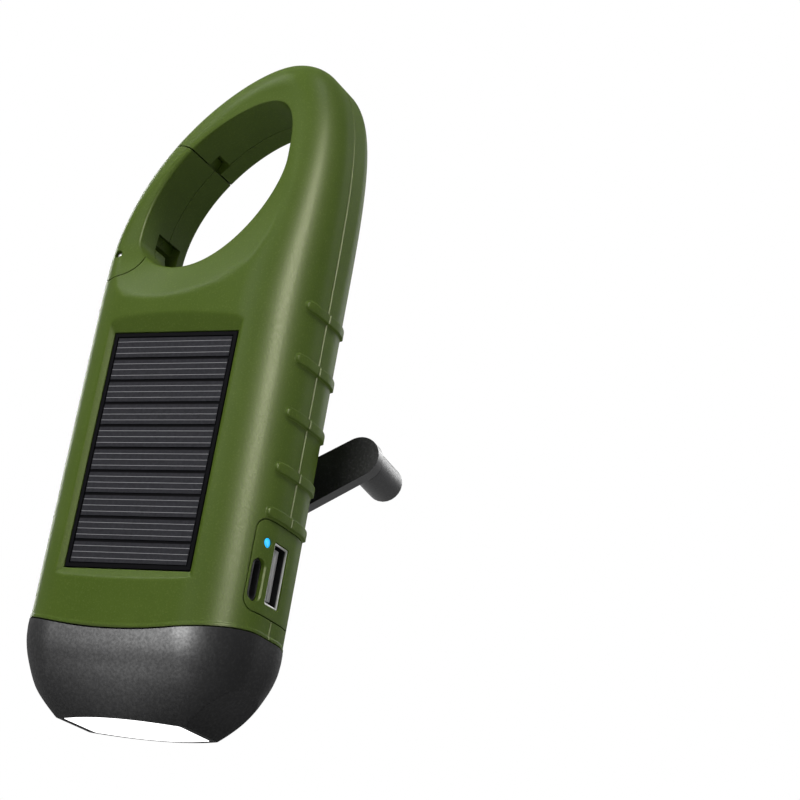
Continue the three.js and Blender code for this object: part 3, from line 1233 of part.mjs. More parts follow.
function generatorCase() {
  const can = rodY(...CENTRES.rotor, GENERATOR_RADIUS, GENERATOR_FRONT, GENERATOR_BACK, LARGE_SIDES);
  const hollow = rodY(...CENTRES.rotor, GENERATOR_RADIUS - GENERATOR_WALL, GENERATOR_FRONT + GENERATOR_WALL, DEEP, LARGE_SIDES);
  const bearing = rodY(...CENTRES.rotor, ROTOR_SHAFT_RADIUS + RUN_GAP, GENERATOR_FRONT - CUT_OVERRUN, DEEP, SMALL_SIDES);
  return without(can, hollow, bearing);
}

function generatorWinding() {
  const front = GENERATOR_FRONT + GENERATOR_WALL + FIT_GAP;
  return without(rodY(...CENTRES.rotor, WINDING_RADIUS, front, front + WINDING_LENGTH, LARGE_SIDES),
    rodY(...CENTRES.rotor, WINDING_BORE, front - CUT_OVERRUN, front + WINDING_LENGTH + CUT_OVERRUN, LARGE_SIDES));
}

function magnetRotor() {
  const front = GENERATOR_FRONT + GENERATOR_WALL + FIT_GAP * 3;
  return joined(rodY(...CENTRES.rotor, MAGNET_RADIUS, front, front + MAGNET_LENGTH, ROUND_SIDES),
    rodY(...CENTRES.rotor, ROTOR_SHAFT_RADIUS, GENERATOR_FRONT + FIT_GAP, ROTOR_SHAFT_BACK, SMALL_SIDES));
}

// Electrics

function mainBoard() {
  const board = box(BOARD_LEFT, BOARD_RIGHT, BOARD_FRONT, BOARD_BACK, BOARD_BOTTOM, BOARD_TOP);
  const boss = rodY(CASE_SCREWS[0][0], CASE_SCREWS[0][1], BOSS_RADIUS + FIT_GAP, BOARD_FRONT - CUT_OVERRUN, BOARD_BACK + CUT_OVERRUN, SMALL_SIDES);
  return without(board, boss);
}

function rechargeableCell() {
  const top = CELL_BOTTOM + CELL_LENGTH;
  return joined(rodZ(CELL_X, CELL_Y, CELL_RADIUS, CELL_BOTTOM, top - CELL_BUTTON, LARGE_SIDES),
    rodZ(CELL_X, CELL_Y, CELL_BUTTON_RADIUS, CELL_BOTTOM + CELL_LENGTH / 2, top, ROUND_SIDES));
}

function cellContact(z) {
  return box(CELL_X - CONTACT_WIDTH / 2, CELL_X + CONTACT_WIDTH / 2, CONTACT_FRONT, CONTACT_BACK, z, z + CONTACT_SHEET);
}

function switchButton() {
  const cap = prismX(centred(BUTTON_WIDTH, BUTTON_HEIGHT, BUTTON_CORNER, 0, BUTTON_Z), -HALF_WIDTH - BUTTON_PROUD, WALL - HALF_WIDTH, ARC_STEPS);
  const flangeFace = WALL + FIT_GAP - HALF_WIDTH;
  const flange = prismX(centred(BUTTON_WIDTH + BUTTON_FLANGE * 2, BUTTON_HEIGHT + BUTTON_FLANGE * 2, BUTTON_CORNER + BUTTON_FLANGE, 0, BUTTON_Z),
    flangeFace, flangeFace + BUTTON_FLANGE_THICKNESS, ARC_STEPS);
  const neck = prismX(centred(BUTTON_WIDTH, BUTTON_HEIGHT, BUTTON_CORNER, 0, BUTTON_Z), -HALF_WIDTH, flangeFace + BUTTON_FLANGE_THICKNESS / 2, ARC_STEPS);
  const plunger = SWITCH_BOARD_X - SWITCH_BOARD_THICKNESS / 2 - RUN_GAP - SWITCH_BODY - SWITCH_PLUNGER;
  const stem = rodX(0, BUTTON_Z, BUTTON_STEM_RADIUS, flangeFace, plunger - BUTTON_TRAVEL, SMALL_SIDES);
  return joined(cap, flange, neck, stem);
}

function tactSwitch() {
  const back = SWITCH_BOARD_X - SWITCH_BOARD_THICKNESS / 2 - RUN_GAP;
  const half = SWITCH_SIZE / 2;
  const body = box(back - SWITCH_BODY, back, -half, half, BUTTON_Z - half, BUTTON_Z + half);
  return joined(body, rodX(0, BUTTON_Z, SWITCH_PLUNGER_RADIUS, back - SWITCH_BODY - SWITCH_PLUNGER, back - SWITCH_BODY / 2, SMALL_SIDES));
}

function switchBoard() {
  const half = SWITCH_BOARD_THICKNESS / 2;
  return box(SWITCH_BOARD_X - half, SWITCH_BOARD_X + half, SWITCH_BOARD_FRONT, SWITCH_BOARD_BACK,
    SWITCH_BOARD_BOTTOM, SWITCH_BOARD_TOP);
}

// Lamp head

function headSection(shares) {
  const width = (HALF_WIDTH + HEAD_PROUD) * shares.width;
  const z = HEAD_FORM_TOP * shares.z;
  const right = { x: width, z, inX: -1, inZ: 0 };
  const left = { x: -width, z, inX: 1, inZ: 0 };
  const crown = CROWN * shares.crown;
  const lean = HEAD_BACK_LEAN_SHARE * shares.z * Math.max(0, 1 - shares.z);
  const back = (BACK_DEPTH + HEAD_PROUD) * (shares.depth - lean);
  const front = (FRONT_DEPTH + HEAD_PROUD) * shares.depth;
  const backHalf = halfSection(right, left, back, Math.min(back, BACK_CORNER * shares.corner), crown, 1);
  const frontHalf = halfSection(right, left, front, Math.min(front, FRONT_CORNER * shares.corner), crown, -1);
  return [[width, 0, z], ...backHalf, [-width, 0, z], ...frontHalf.reverse()];
}

function facetCutter(side) {
  const reach = HALF_WIDTH * 2;
  const run = reach - FACET_FOOT_X;
  const low = FACET_FOOT_Z - FACET_SLOPE_SHARE * CUT_OVERRUN;
  const points = [[side * (FACET_FOOT_X - CUT_OVERRUN), low], [side * reach, low],
    [side * reach, FACET_FOOT_Z + run * FACET_SLOPE_SHARE]];
  if (side < 0) points.reverse();
  return prismY(polygon(points), -DEEP, DEEP);
}

// An oblong with straight ends and bowed long sides
function barrel(grow) {
  const [x, y] = [LENS_LENGTH / 2 + grow, LENS_END_WIDTH / 2 + grow];
  const corner = LENS_CORNER;
  const shape = new THREE.Shape();
  shape.moveTo(corner - x, -y);
  shape.quadraticCurveTo(0, -y - LENS_BULGE * 2, x - corner, -y);
  shape.quadraticCurveTo(x, -y, x, corner - y);
  shape.lineTo(x, y - corner);
  shape.quadraticCurveTo(x, y, x - corner, y);
  shape.quadraticCurveTo(0, y + LENS_BULGE * 2, corner - x, y);
  shape.quadraticCurveTo(-x, y, -x, y - corner);
  shape.lineTo(-x, corner - y);
  shape.quadraticCurveTo(-x, -y, corner - x, -y);
  return shape;
}

function spigotOutline(gap) {
  const side = CAVITY_SIDE - gap;
  return roundedRectangle(-side, gap - CAVITY_FRONT, side, CAVITY_BACK - gap, CAVITY_CORNER - gap);
}

function headShell() {
  const last = HEAD_STATION_SHARES[HEAD_STATION_SHARES.length - 1];
  const rows = [...HEAD_STATION_SHARES, { ...last, z: HEAD_TOP / HEAD_FORM_TOP }].map(headSection);
  const form = without(toSolid(loftedGeometry(rows)), facetCutter(1), facetCutter(-1));
  const capped = form.intersect(belowHeadSeam(0, FIT_GAP));
  const spigot = prismZ(spigotOutline(FIT_GAP), WELL_TOP, SPIGOT_TOP, ARC_STEPS);
  const mouth = prismZ(spigotOutline(FIT_GAP + SPIGOT_WALL), HEAD_SEAM - WALL, SPIGOT_TOP + CUT_OVERRUN, ARC_STEPS);
  const chamberLength = LENS_LENGTH + (WELL_GAP + CHAMBER_MARGIN) * 2;
  const chamber = prismZ(centred(chamberLength, CHAMBER_WIDTH, CHAMBER_CORNER), WELL_TOP, HEAD_TOP, ARC_STEPS);
  const well = prismZ(barrel(WELL_GAP), HEAD_FLOOR, WELL_TOP + CUT_OVERRUN, FINE_ARC_STEPS);
  const opening = prismZ(barrel(FIT_GAP / 2), -CUT_OVERRUN, HEAD_FLOOR + CUT_OVERRUN, FINE_ARC_STEPS);
  const bosses = [1, -1].map((side) => rodY(side * LOW_SCREW.x, LOW_SCREW.z, BOSS_RADIUS + FIT_GAP, -DEEP, DEEP, SMALL_SIDES));
  return without(joined(capped, spigot), mouth, chamber, well, opening, ...bosses);
}

function lens() {
  const low = HEAD_FLOOR + FIT_GAP;
  const face = prismZ(barrel(0), 0, low + LENS_FLANGE_THICKNESS, FINE_ARC_STEPS);
  return joined(face, prismZ(barrel(LENS_FLANGE), low, low + LENS_FLANGE_THICKNESS, FINE_ARC_STEPS));
}

function taperedBlock(lengthA, widthA, lengthB, widthB, from, to) {
  const row = (length, width, z) => [[-length / 2, -width / 2, z], [length / 2, -width / 2, z],
    [length / 2, width / 2, z], [-length / 2, width / 2, z]];
  return toSolid(loftedGeometry([row(lengthA, widthA, from), row(lengthB, widthB, to)]));
}

function reflector() {
  const from = HEAD_FLOOR + LENS_FLANGE_THICKNESS + FIT_GAP * 2;
  const to = WELL_TOP;
  const outer = prismZ(barrel(WELL_GAP - FIT_GAP), from, to, FINE_ARC_STEPS);
  const length = LENS_LENGTH - REFLECTOR_WALL;
  const width = REFLECTOR_MOUTH_WIDTH;
  const throatLength = length - REFLECTOR_THROAT_INSET * 2;
  const throatWidth = REFLECTOR_THROAT_WIDTH;
  const bowl = taperedBlock(length, width, throatLength, throatWidth, from, to);
  const mouth = taperedBlock(length, width, length, width, from - CUT_OVERRUN, from);
  const throat = taperedBlock(throatLength, throatWidth, throatLength, throatWidth, to, to + CUT_OVERRUN);
  return without(outer, joined(bowl, mouth, throat));
}

function lampBoard() {
  const low = WELL_TOP + FIT_GAP;
  return prismZ(centred(LAMP_BOARD_LENGTH, LAMP_BOARD_WIDTH, LENS_CORNER), low, low + LAMP_BOARD_THICKNESS, ARC_STEPS);
}

// A domed diode that hangs from the lamp board
function diode(index) {
  const x = (index - (DIODE_COUNT - 1) / 2) * DIODE_PITCH;
  const top = WELL_TOP + FIT_GAP - RUN_GAP;
  const shoulder = top - DIODE_LENGTH + DIODE_RADIUS;
  const profile = [new THREE.Vector2(0, top - DIODE_LENGTH)];
  for (let k = 1; k <= DIODE_STEPS; k += 1) {
    const angle = (k / DIODE_STEPS) * Math.PI / 2;
    profile.push(new THREE.Vector2(DIODE_RADIUS * Math.sin(angle), shoulder - DIODE_RADIUS * Math.cos(angle)));
  }
  profile.push(new THREE.Vector2(DIODE_RADIUS, top), new THREE.Vector2(0, top));
  const geometry = new THREE.LatheGeometry(profile, SMALL_SIDES);
  geometry.rotateX(Math.PI / 2);
  geometry.translate(x, 0, 0);
  return toSolid(geometry);
}

// Crank, drawn with the arm along +X from the hub's axis; the group turns it to its resting angle

function crankHub() {
  const disc = rodY(0, 0, HUB_RADIUS, HUB_FRONT, HUB_BACK, LARGE_SIDES);
  const stem = rodY(0, 0, SHAFT_RADIUS + WALL / 2, HUB_FRONT, HUB_BACK, ROUND_SIDES);
  const inner = ARM_ROOT_WIDTH / 2 + FIT_GAP;
  const lug = (side) => {
    const z0 = side > 0 ? inner : -inner - LUG_WIDTH;
    const shape = new THREE.Shape();
    shape.moveTo(HINGE_OFFSET - LUG_LENGTH / 2, HUB_BACK - WALL / 4);
    shape.lineTo(HINGE_OFFSET + LUG_LENGTH / 2, HUB_BACK - WALL / 4);
    shape.lineTo(HINGE_OFFSET + LUG_LENGTH / 2, HINGE_Y);
    shape.absarc(HINGE_OFFSET, HINGE_Y, LUG_LENGTH / 2, 0, Math.PI, false);
    shape.closePath();
    return prismZ(shape, z0, z0 + LUG_WIDTH, ARC_STEPS);
  };
  const reach = inner + LUG_WIDTH + CUT_OVERRUN;
  const pinHole = rodZ(HINGE_OFFSET, HINGE_Y, HINGE_PIN_RADIUS + RUN_GAP, -reach, reach, SMALL_SIDES);
  const screwSeat = rodY(0, 0, HUB_SCREW_HEAD_RADIUS + RUN_GAP, HUB_BACK - HUB_SCREW_HEAD - RUN_GAP, HUB_BACK + CUT_OVERRUN, ROUND_SIDES);
  const screwHole = rodY(0, 0, SCREW_SHANK_RADIUS + RUN_GAP, HUB_FRONT - CUT_OVERRUN, HUB_BACK + CUT_OVERRUN, SMALL_SIDES);
  return without(joined(disc, stem, lug(1), lug(-1)), pinHole, screwSeat, screwHole);
}

function crankShaft() {
  const rod = rodY(0, 0, SHAFT_RADIUS, SHAFT_FRONT, SHAFT_BACK, ROUND_SIDES);
  return without(rod, rodY(0, 0, SCREW_SHANK_RADIUS + RUN_GAP, SHAFT_BACK - HUB_SCREW_LENGTH, SHAFT_BACK + CUT_OVERRUN, SMALL_SIDES));
}

function hubScrew() {
  const top = HUB_BACK - RUN_GAP;
  const seat = top - HUB_SCREW_HEAD + RUN_GAP;
  return screw(0, 0, seat, SHAFT_BACK - HUB_SCREW_LENGTH + FIT_GAP, HUB_SCREW_HEAD_RADIUS, HUB_SCREW_HEAD - RUN_GAP);
}

// Arm in its own frame: the hinge pin at the origin, the arm along +X, its outer face towards +Y
function crankArm() {
  const half = ARM_THICKNESS / 2;
  const end = ARM_END_WIDTH / 2;
  const root = ARM_ROOT_WIDTH / 2;
  const outline = new THREE.Shape();
  outline.moveTo(0, -root);
  outline.lineTo(ARM_LENGTH, -end);
  outline.absarc(ARM_LENGTH, 0, end, -Math.PI / 2, Math.PI / 2, false);
  outline.lineTo(0, root);
  outline.closePath();
  const slab = prismY(outline, -half, half, SMALL_SIDES);
  const eye = rodZ(0, 0, half, -root, root, ROUND_SIDES);
  const collar = rodY(ARM_LENGTH, 0, COLLAR_RADIUS, 0, half + COLLAR_HEIGHT, ROUND_SIDES);
  const peg = rodY(ARM_LENGTH, 0, PEG_RADIUS, 0, half + PEG_LENGTH, ROUND_SIDES);
  const pinHole = rodZ(0, 0, HINGE_PIN_RADIUS + RUN_GAP, -root - CUT_OVERRUN, root + CUT_OVERRUN, SMALL_SIDES);
  const screwHole = rodY(ARM_LENGTH, 0, KNOB_SCREW_SHANK_RADIUS + RUN_GAP, half + PEG_LENGTH - KNOB_SCREW_LENGTH, half + PEG_LENGTH + CUT_OVERRUN, SMALL_SIDES);
  return without(joined(slab, eye, collar, peg), pinHole, screwHole);
}

function hingePin() {
  const reach = ARM_ROOT_WIDTH / 2 + FIT_GAP + LUG_WIDTH;
  const heads = [rodZ(0, 0, HINGE_PIN_HEAD_RADIUS, reach + RUN_GAP, reach + HINGE_PIN_HEAD, SMALL_SIDES),
    rodZ(0, 0, HINGE_PIN_HEAD_RADIUS, -reach - HINGE_PIN_HEAD, -reach - RUN_GAP, 16)];
  return joined(rodZ(0, 0, HINGE_PIN_RADIUS, -reach - HINGE_PIN_HEAD / 2, reach + HINGE_PIN_HEAD / 2, SMALL_SIDES), ...heads);
}

const KNOB_BASE = ARM_THICKNESS / 2 + COLLAR_HEIGHT + RUN_GAP;

// Knob: a turned grip with a bore for the peg and a recess for its screw
function knob() {
  const steps = 3;
  const profile = [new THREE.Vector2(PEG_RADIUS + RUN_GAP, 0)];
  for (let k = 0; k <= steps; k += 1) {
    const angle = (k / steps) * Math.PI / 2;
    profile.push(new THREE.Vector2(KNOB_RADIUS - KNOB_ROUNDING / 2 * (1 - Math.sin(angle)), KNOB_ROUNDING / 2 * (1 - Math.cos(angle))));
  }
  for (let k = 0; k <= steps; k += 1) {
    const angle = (k / steps) * Math.PI / 2;
    profile.push(new THREE.Vector2(KNOB_RADIUS - KNOB_ROUNDING * (1 - Math.cos(angle)), KNOB_LENGTH - KNOB_ROUNDING * (1 - Math.sin(angle))));
  }
  const recess = KNOB_SCREW_HEAD_RADIUS + RUN_GAP * 2;
  const boreEnd = PEG_LENGTH - COLLAR_HEIGHT - RUN_GAP + FIT_GAP;
  profile.push(new THREE.Vector2(recess, KNOB_LENGTH), new THREE.Vector2(recess, KNOB_LENGTH - KNOB_SCREW_RECESS),
    new THREE.Vector2(KNOB_SCREW_SHANK_RADIUS + RUN_GAP, KNOB_LENGTH - KNOB_SCREW_RECESS),
    new THREE.Vector2(KNOB_SCREW_SHANK_RADIUS + RUN_GAP, boreEnd),
    new THREE.Vector2(PEG_RADIUS + RUN_GAP, boreEnd), new THREE.Vector2(PEG_RADIUS + RUN_GAP, 0));
  const geometry = new THREE.LatheGeometry(profile, ROUND_SIDES);
  geometry.translate(ARM_LENGTH, KNOB_BASE, 0);
  return toSolid(geometry);
}

function knobScrew() {
  const seat = KNOB_BASE + KNOB_LENGTH - KNOB_SCREW_RECESS + RUN_GAP;
  const tip = ARM_THICKNESS / 2 + PEG_LENGTH - KNOB_SCREW_LENGTH + FIT_GAP;
  return joined(rodY(ARM_LENGTH, 0, KNOB_SCREW_SHANK_RADIUS, tip, seat + KNOB_SCREW_HEAD / 2, SMALL_SIDES),
    rodY(ARM_LENGTH, 0, KNOB_SCREW_HEAD_RADIUS, seat, seat + KNOB_SCREW_HEAD, SMALL_SIDES));
}

function shaftBush() {
  return without(rodY(0, HUB_Z, BUSH_RADIUS, BUSH_FRONT, BUSH_BACK, ROUND_SIDES),
    rodY(0, HUB_Z, SHAFT_RADIUS + RUN_GAP, BUSH_FRONT - CUT_OVERRUN, BUSH_BACK + CUT_OVERRUN, ROUND_SIDES));
}

function gatePin() {
  return rodY(PIVOT_X, PIVOT_Z, GATE_PIN_RADIUS, GATE_PIN_FRONT, GATE_PIN_BACK, SMALL_SIDES);
}

// Assembly

function node(name, solid, finish) {
  const mesh = new THREE.Mesh(toGeometry(solid), new THREE.MeshStandardMaterial(COLOURS[finish]));
  mesh.name = name;
  return mesh;
}

const flashlight = new THREE.Group();
const gate = gateHalves(DISHED);

flashlight.add(
  node('front_shell', frontShell(), 'olive'),
  node('back_shell', backShell(), 'olive'),
  node('port_panel', portPanel(), 'olive'),
  node('solar_panel', solarPanel(), 'panel'),
  node('solar_cells', solarCells(), 'cells'),
  node('usb_a_shell', usbShell(), 'steel'),
  node('usb_a_tongue', usbTongue(), 'plastic'),
  node('charge_socket_shell', ovalShell(), 'steel'),
  node('charge_socket_tongue', ovalTongue(), 'black'),
  node('pilot_light', pilotLight(), 'blue'),
  node('main_board', mainBoard(), 'board'),
  node('rechargeable_cell', rechargeableCell(), 'wrap'),
  node('cell_contact_bottom', cellContact(CELL_BOTTOM - RUN_GAP - CONTACT_SHEET), 'steel'),
  node('cell_contact_top', cellContact(CELL_BOTTOM + CELL_LENGTH + RUN_GAP), 'steel'),
  node('switch_button', switchButton(), 'rubber'),
  node('tact_switch', tactSwitch(), 'black'),
  node('switch_board', switchBoard(), 'board'),
  node('head_shell', headShell(), 'charcoal'),
  node('lens', lens(), 'white'),
  node('reflector', reflector(), 'white'),
  node('lamp_board', lampBoard(), 'board'),
  node('gate_front', gate.front, 'olive'),
  node('gate_back', gate.back, 'olive'),
  node('gate_pin', gatePin(), 'steel'),
  node('gate_spring', gateSpring(), 'steel'),
  node('shaft_bush', shaftBush(), 'black'),
  node('gear_plate', gearPlate(), 'black'),
  node('crank_gear', crankGear(), 'gear'),
  node('idler_gear_1', idlerGear(CENTRES.idler1, IDLER_1_WHEEL, IDLER_1_PINION, IDLER_2_ANGLE, IDLER_1_ANGLE), 'gear'),
  node('idler_gear_2', idlerGear(CENTRES.idler2, IDLER_2_WHEEL, IDLER_2_PINION, ROTOR_ANGLE, IDLER_2_ANGLE), 'gear'),
  node('idler_axle_1', idlerAxle(CENTRES.idler1), 'steel'),
  node('idler_axle_2', idlerAxle(CENTRES.idler2), 'steel'),
  node('rotor_pinion', rotorPinion(), 'gear'),
  node('magnet_rotor', magnetRotor(), 'magnet'),
  node('generator_case', generatorCase(), 'steel'),
  node('generator_winding', generatorWinding(), 'copper'),
);

for (let k = 0; k < DIODE_COUNT; k += 1) flashlight.add(node(`lamp_diode_${k + 1}`, diode(k), 'white'));
CASE_SCREWS.forEach((place, k) => flashlight.add(node(`case_screw_${k + 1}`, caseScrew(place), 'steel')));
PLATE_SCREWS.forEach((place, k) => flashlight.add(node(`plate_screw_${k + 1}`, plateScrew(place), 'steel')));

const crank = new THREE.Group();
crank.position.set(0, 0, HUB_Z);
crank.rotation.y = -CRANK_ANGLE;
crank.add(
  node('crank_hub', crankHub(), 'black'),
  node('crank_shaft', crankShaft(), 'steel'),
  node('hub_screw', hubScrew(), 'steel'),
);

const arm = new THREE.Group();
arm.position.set(HINGE_OFFSET, HINGE_Y, 0);
arm.rotation.z = ARM_TILT;
arm.add(
  node('crank_arm', crankArm(), 'black'),
  node('arm_hinge_pin', hingePin(), 'steel'),
  node('crank_knob', knob(), 'charcoal'),
  node('knob_screw', knobScrew(), 'steel'),
);
crank.add(arm);
flashlight.add(crank);

export default flashlight;
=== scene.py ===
"""A hand crank flashlight: an olive body in two moulded halves with a solar panel in front, a ring
handle closed by a sprung gate, a charcoal lamp head, two sockets and a folding crank.
Shapes are worked out in millimetres and put into metres as each mesh is made."""

import json
import math

import bmesh
import bpy
import numpy as np
from mathutils import Euler, Matrix, Vector

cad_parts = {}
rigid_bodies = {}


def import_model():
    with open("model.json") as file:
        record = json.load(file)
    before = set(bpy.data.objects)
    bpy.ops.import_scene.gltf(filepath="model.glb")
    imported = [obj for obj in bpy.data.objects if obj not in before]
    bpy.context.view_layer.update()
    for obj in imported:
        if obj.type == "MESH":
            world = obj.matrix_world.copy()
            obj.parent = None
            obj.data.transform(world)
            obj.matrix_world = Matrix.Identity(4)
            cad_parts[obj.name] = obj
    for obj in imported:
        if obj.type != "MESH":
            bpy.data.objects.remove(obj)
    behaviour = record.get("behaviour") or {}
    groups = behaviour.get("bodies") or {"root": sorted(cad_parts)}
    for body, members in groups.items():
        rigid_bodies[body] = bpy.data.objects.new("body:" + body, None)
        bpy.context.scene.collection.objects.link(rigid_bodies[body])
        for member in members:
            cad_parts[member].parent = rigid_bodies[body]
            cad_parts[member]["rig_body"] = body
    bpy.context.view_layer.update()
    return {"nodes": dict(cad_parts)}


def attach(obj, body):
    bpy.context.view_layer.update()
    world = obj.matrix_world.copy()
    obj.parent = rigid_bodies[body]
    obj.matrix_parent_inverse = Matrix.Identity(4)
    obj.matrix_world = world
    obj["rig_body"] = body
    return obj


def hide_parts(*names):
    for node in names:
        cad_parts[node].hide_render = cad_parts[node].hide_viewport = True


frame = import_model()
scene = bpy.context.scene
scene.view_settings.view_transform = "Standard"


# Camera. It looks up at the light from in front and from its socket side, so that the lit lens shows
# below the panel. The place and the lens come from fitting the panel's corners and the seams.
CAMERA_PLACE = (0.25337, -0.37756, -0.07621)
CAMERA_TURN = (1.909352, -0.161940, 0.441868)
CAMERA_LENS = 98.65

camera_data = bpy.data.cameras.new("camera")
camera_data.lens = CAMERA_LENS
camera_data.sensor_width = 36
camera_data.clip_start = 0.01
camera_data.clip_end = 20
camera = bpy.data.objects.new("camera", camera_data)
camera.location = CAMERA_PLACE
camera.rotation_euler = Euler(CAMERA_TURN)
scene.collection.objects.link(camera)
scene.camera = camera


# Studio. A pale floor carries the light upright. It shows from above only, since the camera looks from
# below it. The world is white to the rays that see the background, and a plain grey light to all
# others. Three of the lamps add highlights only.
FLOOR_HALF = 1.6
FLOOR_GREY = 0.68
FLOOR_PALE = 0.5
WORLD_LIGHT = 0.08
LAMPS = {
    "key_left": {"place": (-0.53, -0.36, 0.85), "size": (0.30, 0.30), "watts": 4.0},
    "front_fill": {"place": (-0.02, -1.05, 0.55), "size": (0.50, 0.30), "watts": 5.2},
    "top_panel": {"place": (0.36, -0.22, 0.92), "size": (0.25, 0.25), "watts": 2.4},
    "head_low": {"place": (-0.06, -0.72, 0.03), "size": (0.40, 0.06), "watts": 42.0, "lights_matt": False},
    "right_strip": {"place": (0.626, -0.333, 0.37), "size": (0.07, 0.32), "watts": 23.0,
                    "lights_matt": False, "colour": (1.0, 0.99, 0.72)},
    "left_rim": {"place": (-0.62, 0.42, 0.32), "size": (0.10, 0.45), "watts": 5.0, "lights_matt": False},
    "back_panel": {"place": (0.10, 0.90, 0.50), "size": (0.40, 0.40), "watts": 2.6},
}
LAMP_AIM = Vector((0, 0, 0.08))


def area_lamp(name, place, size, watts, lights_matt=True, colour=(1, 1, 1)):
    """A rectangular soft lamp that faces the middle of the object. One that doesn't light matt
    surfaces adds a highlight only."""
    data = bpy.data.lights.new(name, "AREA")
    data.shape = "RECTANGLE"
    data.size, data.size_y = size
    data.energy = watts
    data.color = colour
    lamp = bpy.data.objects.new(name, data)
    lamp.location = place
    lamp.rotation_euler = (LAMP_AIM - Vector(place)).to_track_quat("-Z", "Y").to_euler()
    lamp.visible_diffuse = lights_matt
    scene.collection.objects.link(lamp)


for lamp_name, facts in LAMPS.items():
    area_lamp(lamp_name, **facts)


def new_material(name):
    """A material with its node tree emptied, and a maker of linked nodes for it."""
    material = bpy.data.materials.new(name)
    material.use_nodes = True
    tree = material.node_tree
    tree.nodes.clear()
    return material, Wiring(tree)


class Wiring:
    """Adds nodes to a tree: values go to sockets by name or number, and sockets are linked."""

    def __init__(self, tree):
        self.tree = tree

    def add(self, kind, inputs=None, **settings):
        """A node of a kind, with its inputs set or linked, and its settings set."""
        node = self.tree.nodes.new(kind)
        for key, value in settings.items():
            setattr(node, key, value)
        for key, value in (inputs or {}).items():
            if isinstance(value, bpy.types.NodeSocket):
                self.tree.links.new(value, node.inputs[key])
            else:
                node.inputs[key].default_value = value
        return node

    def link(self, source, target):
        """Joins one socket to another."""
        self.tree.links.new(source, target)


def larger(wire, a, b):
    """The larger of two values."""
    return wire.add("ShaderNodeMath", {0: a, 1: b}, operation="MAXIMUM").outputs[0]


def carry(wire, value, low=0, high=1, start=0, end=1):
    """The value carried from the range low to high into the range start to end, and held at its ends."""
    return wire.add("ShaderNodeMapRange", {"Value": value, "From Min": low, "From Max": high,
                                           "To Min": start, "To Max": end}).outputs[0]


def seen_rays(wire):
    """1 for the rays that see the background: from the camera, off gloss and through glass."""
    rays = wire.add("ShaderNodeLightPath").outputs
    direct = larger(wire, rays["Is Camera Ray"], rays["Is Transmission Ray"])
    return larger(wire, direct, rays["Is Glossy Ray"])


def floor_material():
    """Grey matt paper, with a share of white glow for the rays that see the background. It is clear
    from below."""
    material, wire = new_material("floor_paper")
    matt = wire.add("ShaderNodeBsdfDiffuse", {"Color": (FLOOR_GREY, FLOOR_GREY, FLOOR_GREY, 1)})
    glow = wire.add("ShaderNodeEmission", {"Color": (1, 1, 1, 1), "Strength": 1.0})
    clear = wire.add("ShaderNodeBsdfTransparent")
    share = wire.add("ShaderNodeMath", {0: seen_rays(wire), 1: FLOOR_PALE}, operation="MULTIPLY")
    paper = wire.add("ShaderNodeMixShader", {0: share.outputs[0], 1: matt.outputs[0], 2: glow.outputs[0]})
    below = wire.add("ShaderNodeNewGeometry").outputs["Backfacing"]
    sheet = wire.add("ShaderNodeMixShader", {0: below, 1: paper.outputs[0], 2: clear.outputs[0]})
    wire.add("ShaderNodeOutputMaterial", {"Surface": sheet.outputs[0]})
    return material


def white_world():
    """A world that is white to the rays that see the background, and lights everything evenly."""
    world = bpy.data.worlds.new("studio")
    world.use_nodes = True
    world.node_tree.nodes.clear()
    wire = Wiring(world.node_tree)
    strength = carry(wire, seen_rays(wire), 0, 1, WORLD_LIGHT, 1.0)
    background = wire.add("ShaderNodeBackground", {"Color": (1, 1, 1, 1), "Strength": strength})
    wire.add("ShaderNodeOutputWorld", {"Surface": background.outputs[0]})
    scene.world = world


white_world()
floor_mesh = bpy.data.meshes.new("floor")
floor_mesh.from_pydata([(-FLOOR_HALF, -FLOOR_HALF, 0), (FLOOR_HALF, -FLOOR_HALF, 0),
                        (FLOOR_HALF, FLOOR_HALF, 0), (-FLOOR_HALF, FLOOR_HALF, 0)], [], [(0, 1, 2, 3)])
floor = bpy.data.objects.new("floor", floor_mesh)
floor.data.materials.append(floor_material())
scene.collection.objects.link(floor)


# Body. Two halves, moulded in grained olive plastic, come from one form: a rounded oblong section with
# a slight crown on both faces, carried up the body and round the leaning top of the ring. Handling
# has polished its edges a little.
HALF_WIDTH = 27.0
RING_START = 98.0
RING_TOP = 151.7
RING_RISE = RING_TOP - RING_START
APEX_X = HALF_WIDTH * 0.43
RIGHT_HANDLES = (0.588, 0.56)
LEFT_HANDLES = (0.653, 0.40)
FRONT_DEPTH = 16.0
BACK_DEPTH = 15.8
CROWN = 1.2
FRONT_CORNER = 12.8
BACK_CORNER = 12.6
FRONT_DROP = 4.0
BACK_DROP = 3.5
RING_FRONT_CORNER = 8.9
RING_BACK_CORNER = 7.4
FRONT_TAPER = (86.5, 149.0)
BACK_TAPER = (84.0, 132.7)
HEAD_SEAM = 17.0
SEAM_RISE = 3.5


def mix(a, b, share):
    """The value at a share of the way from a to b."""
    return a + (b - a) * share


def bezier(points, t):
    """Cubic Bezier points and tangents, for an array of t."""
    p = np.asarray(points, float)
    t = np.asarray(t, float)[:, None]
    m = 1 - t
    place = m**3 * p[0] + 3 * m * m * t * p[1] + 3 * m * t * t * p[2] + t**3 * p[3]
    run = m * m * (p[1] - p[0]) + 2 * m * t * (p[2] - p[1]) + t * t * (p[3] - p[2])
    return place, run


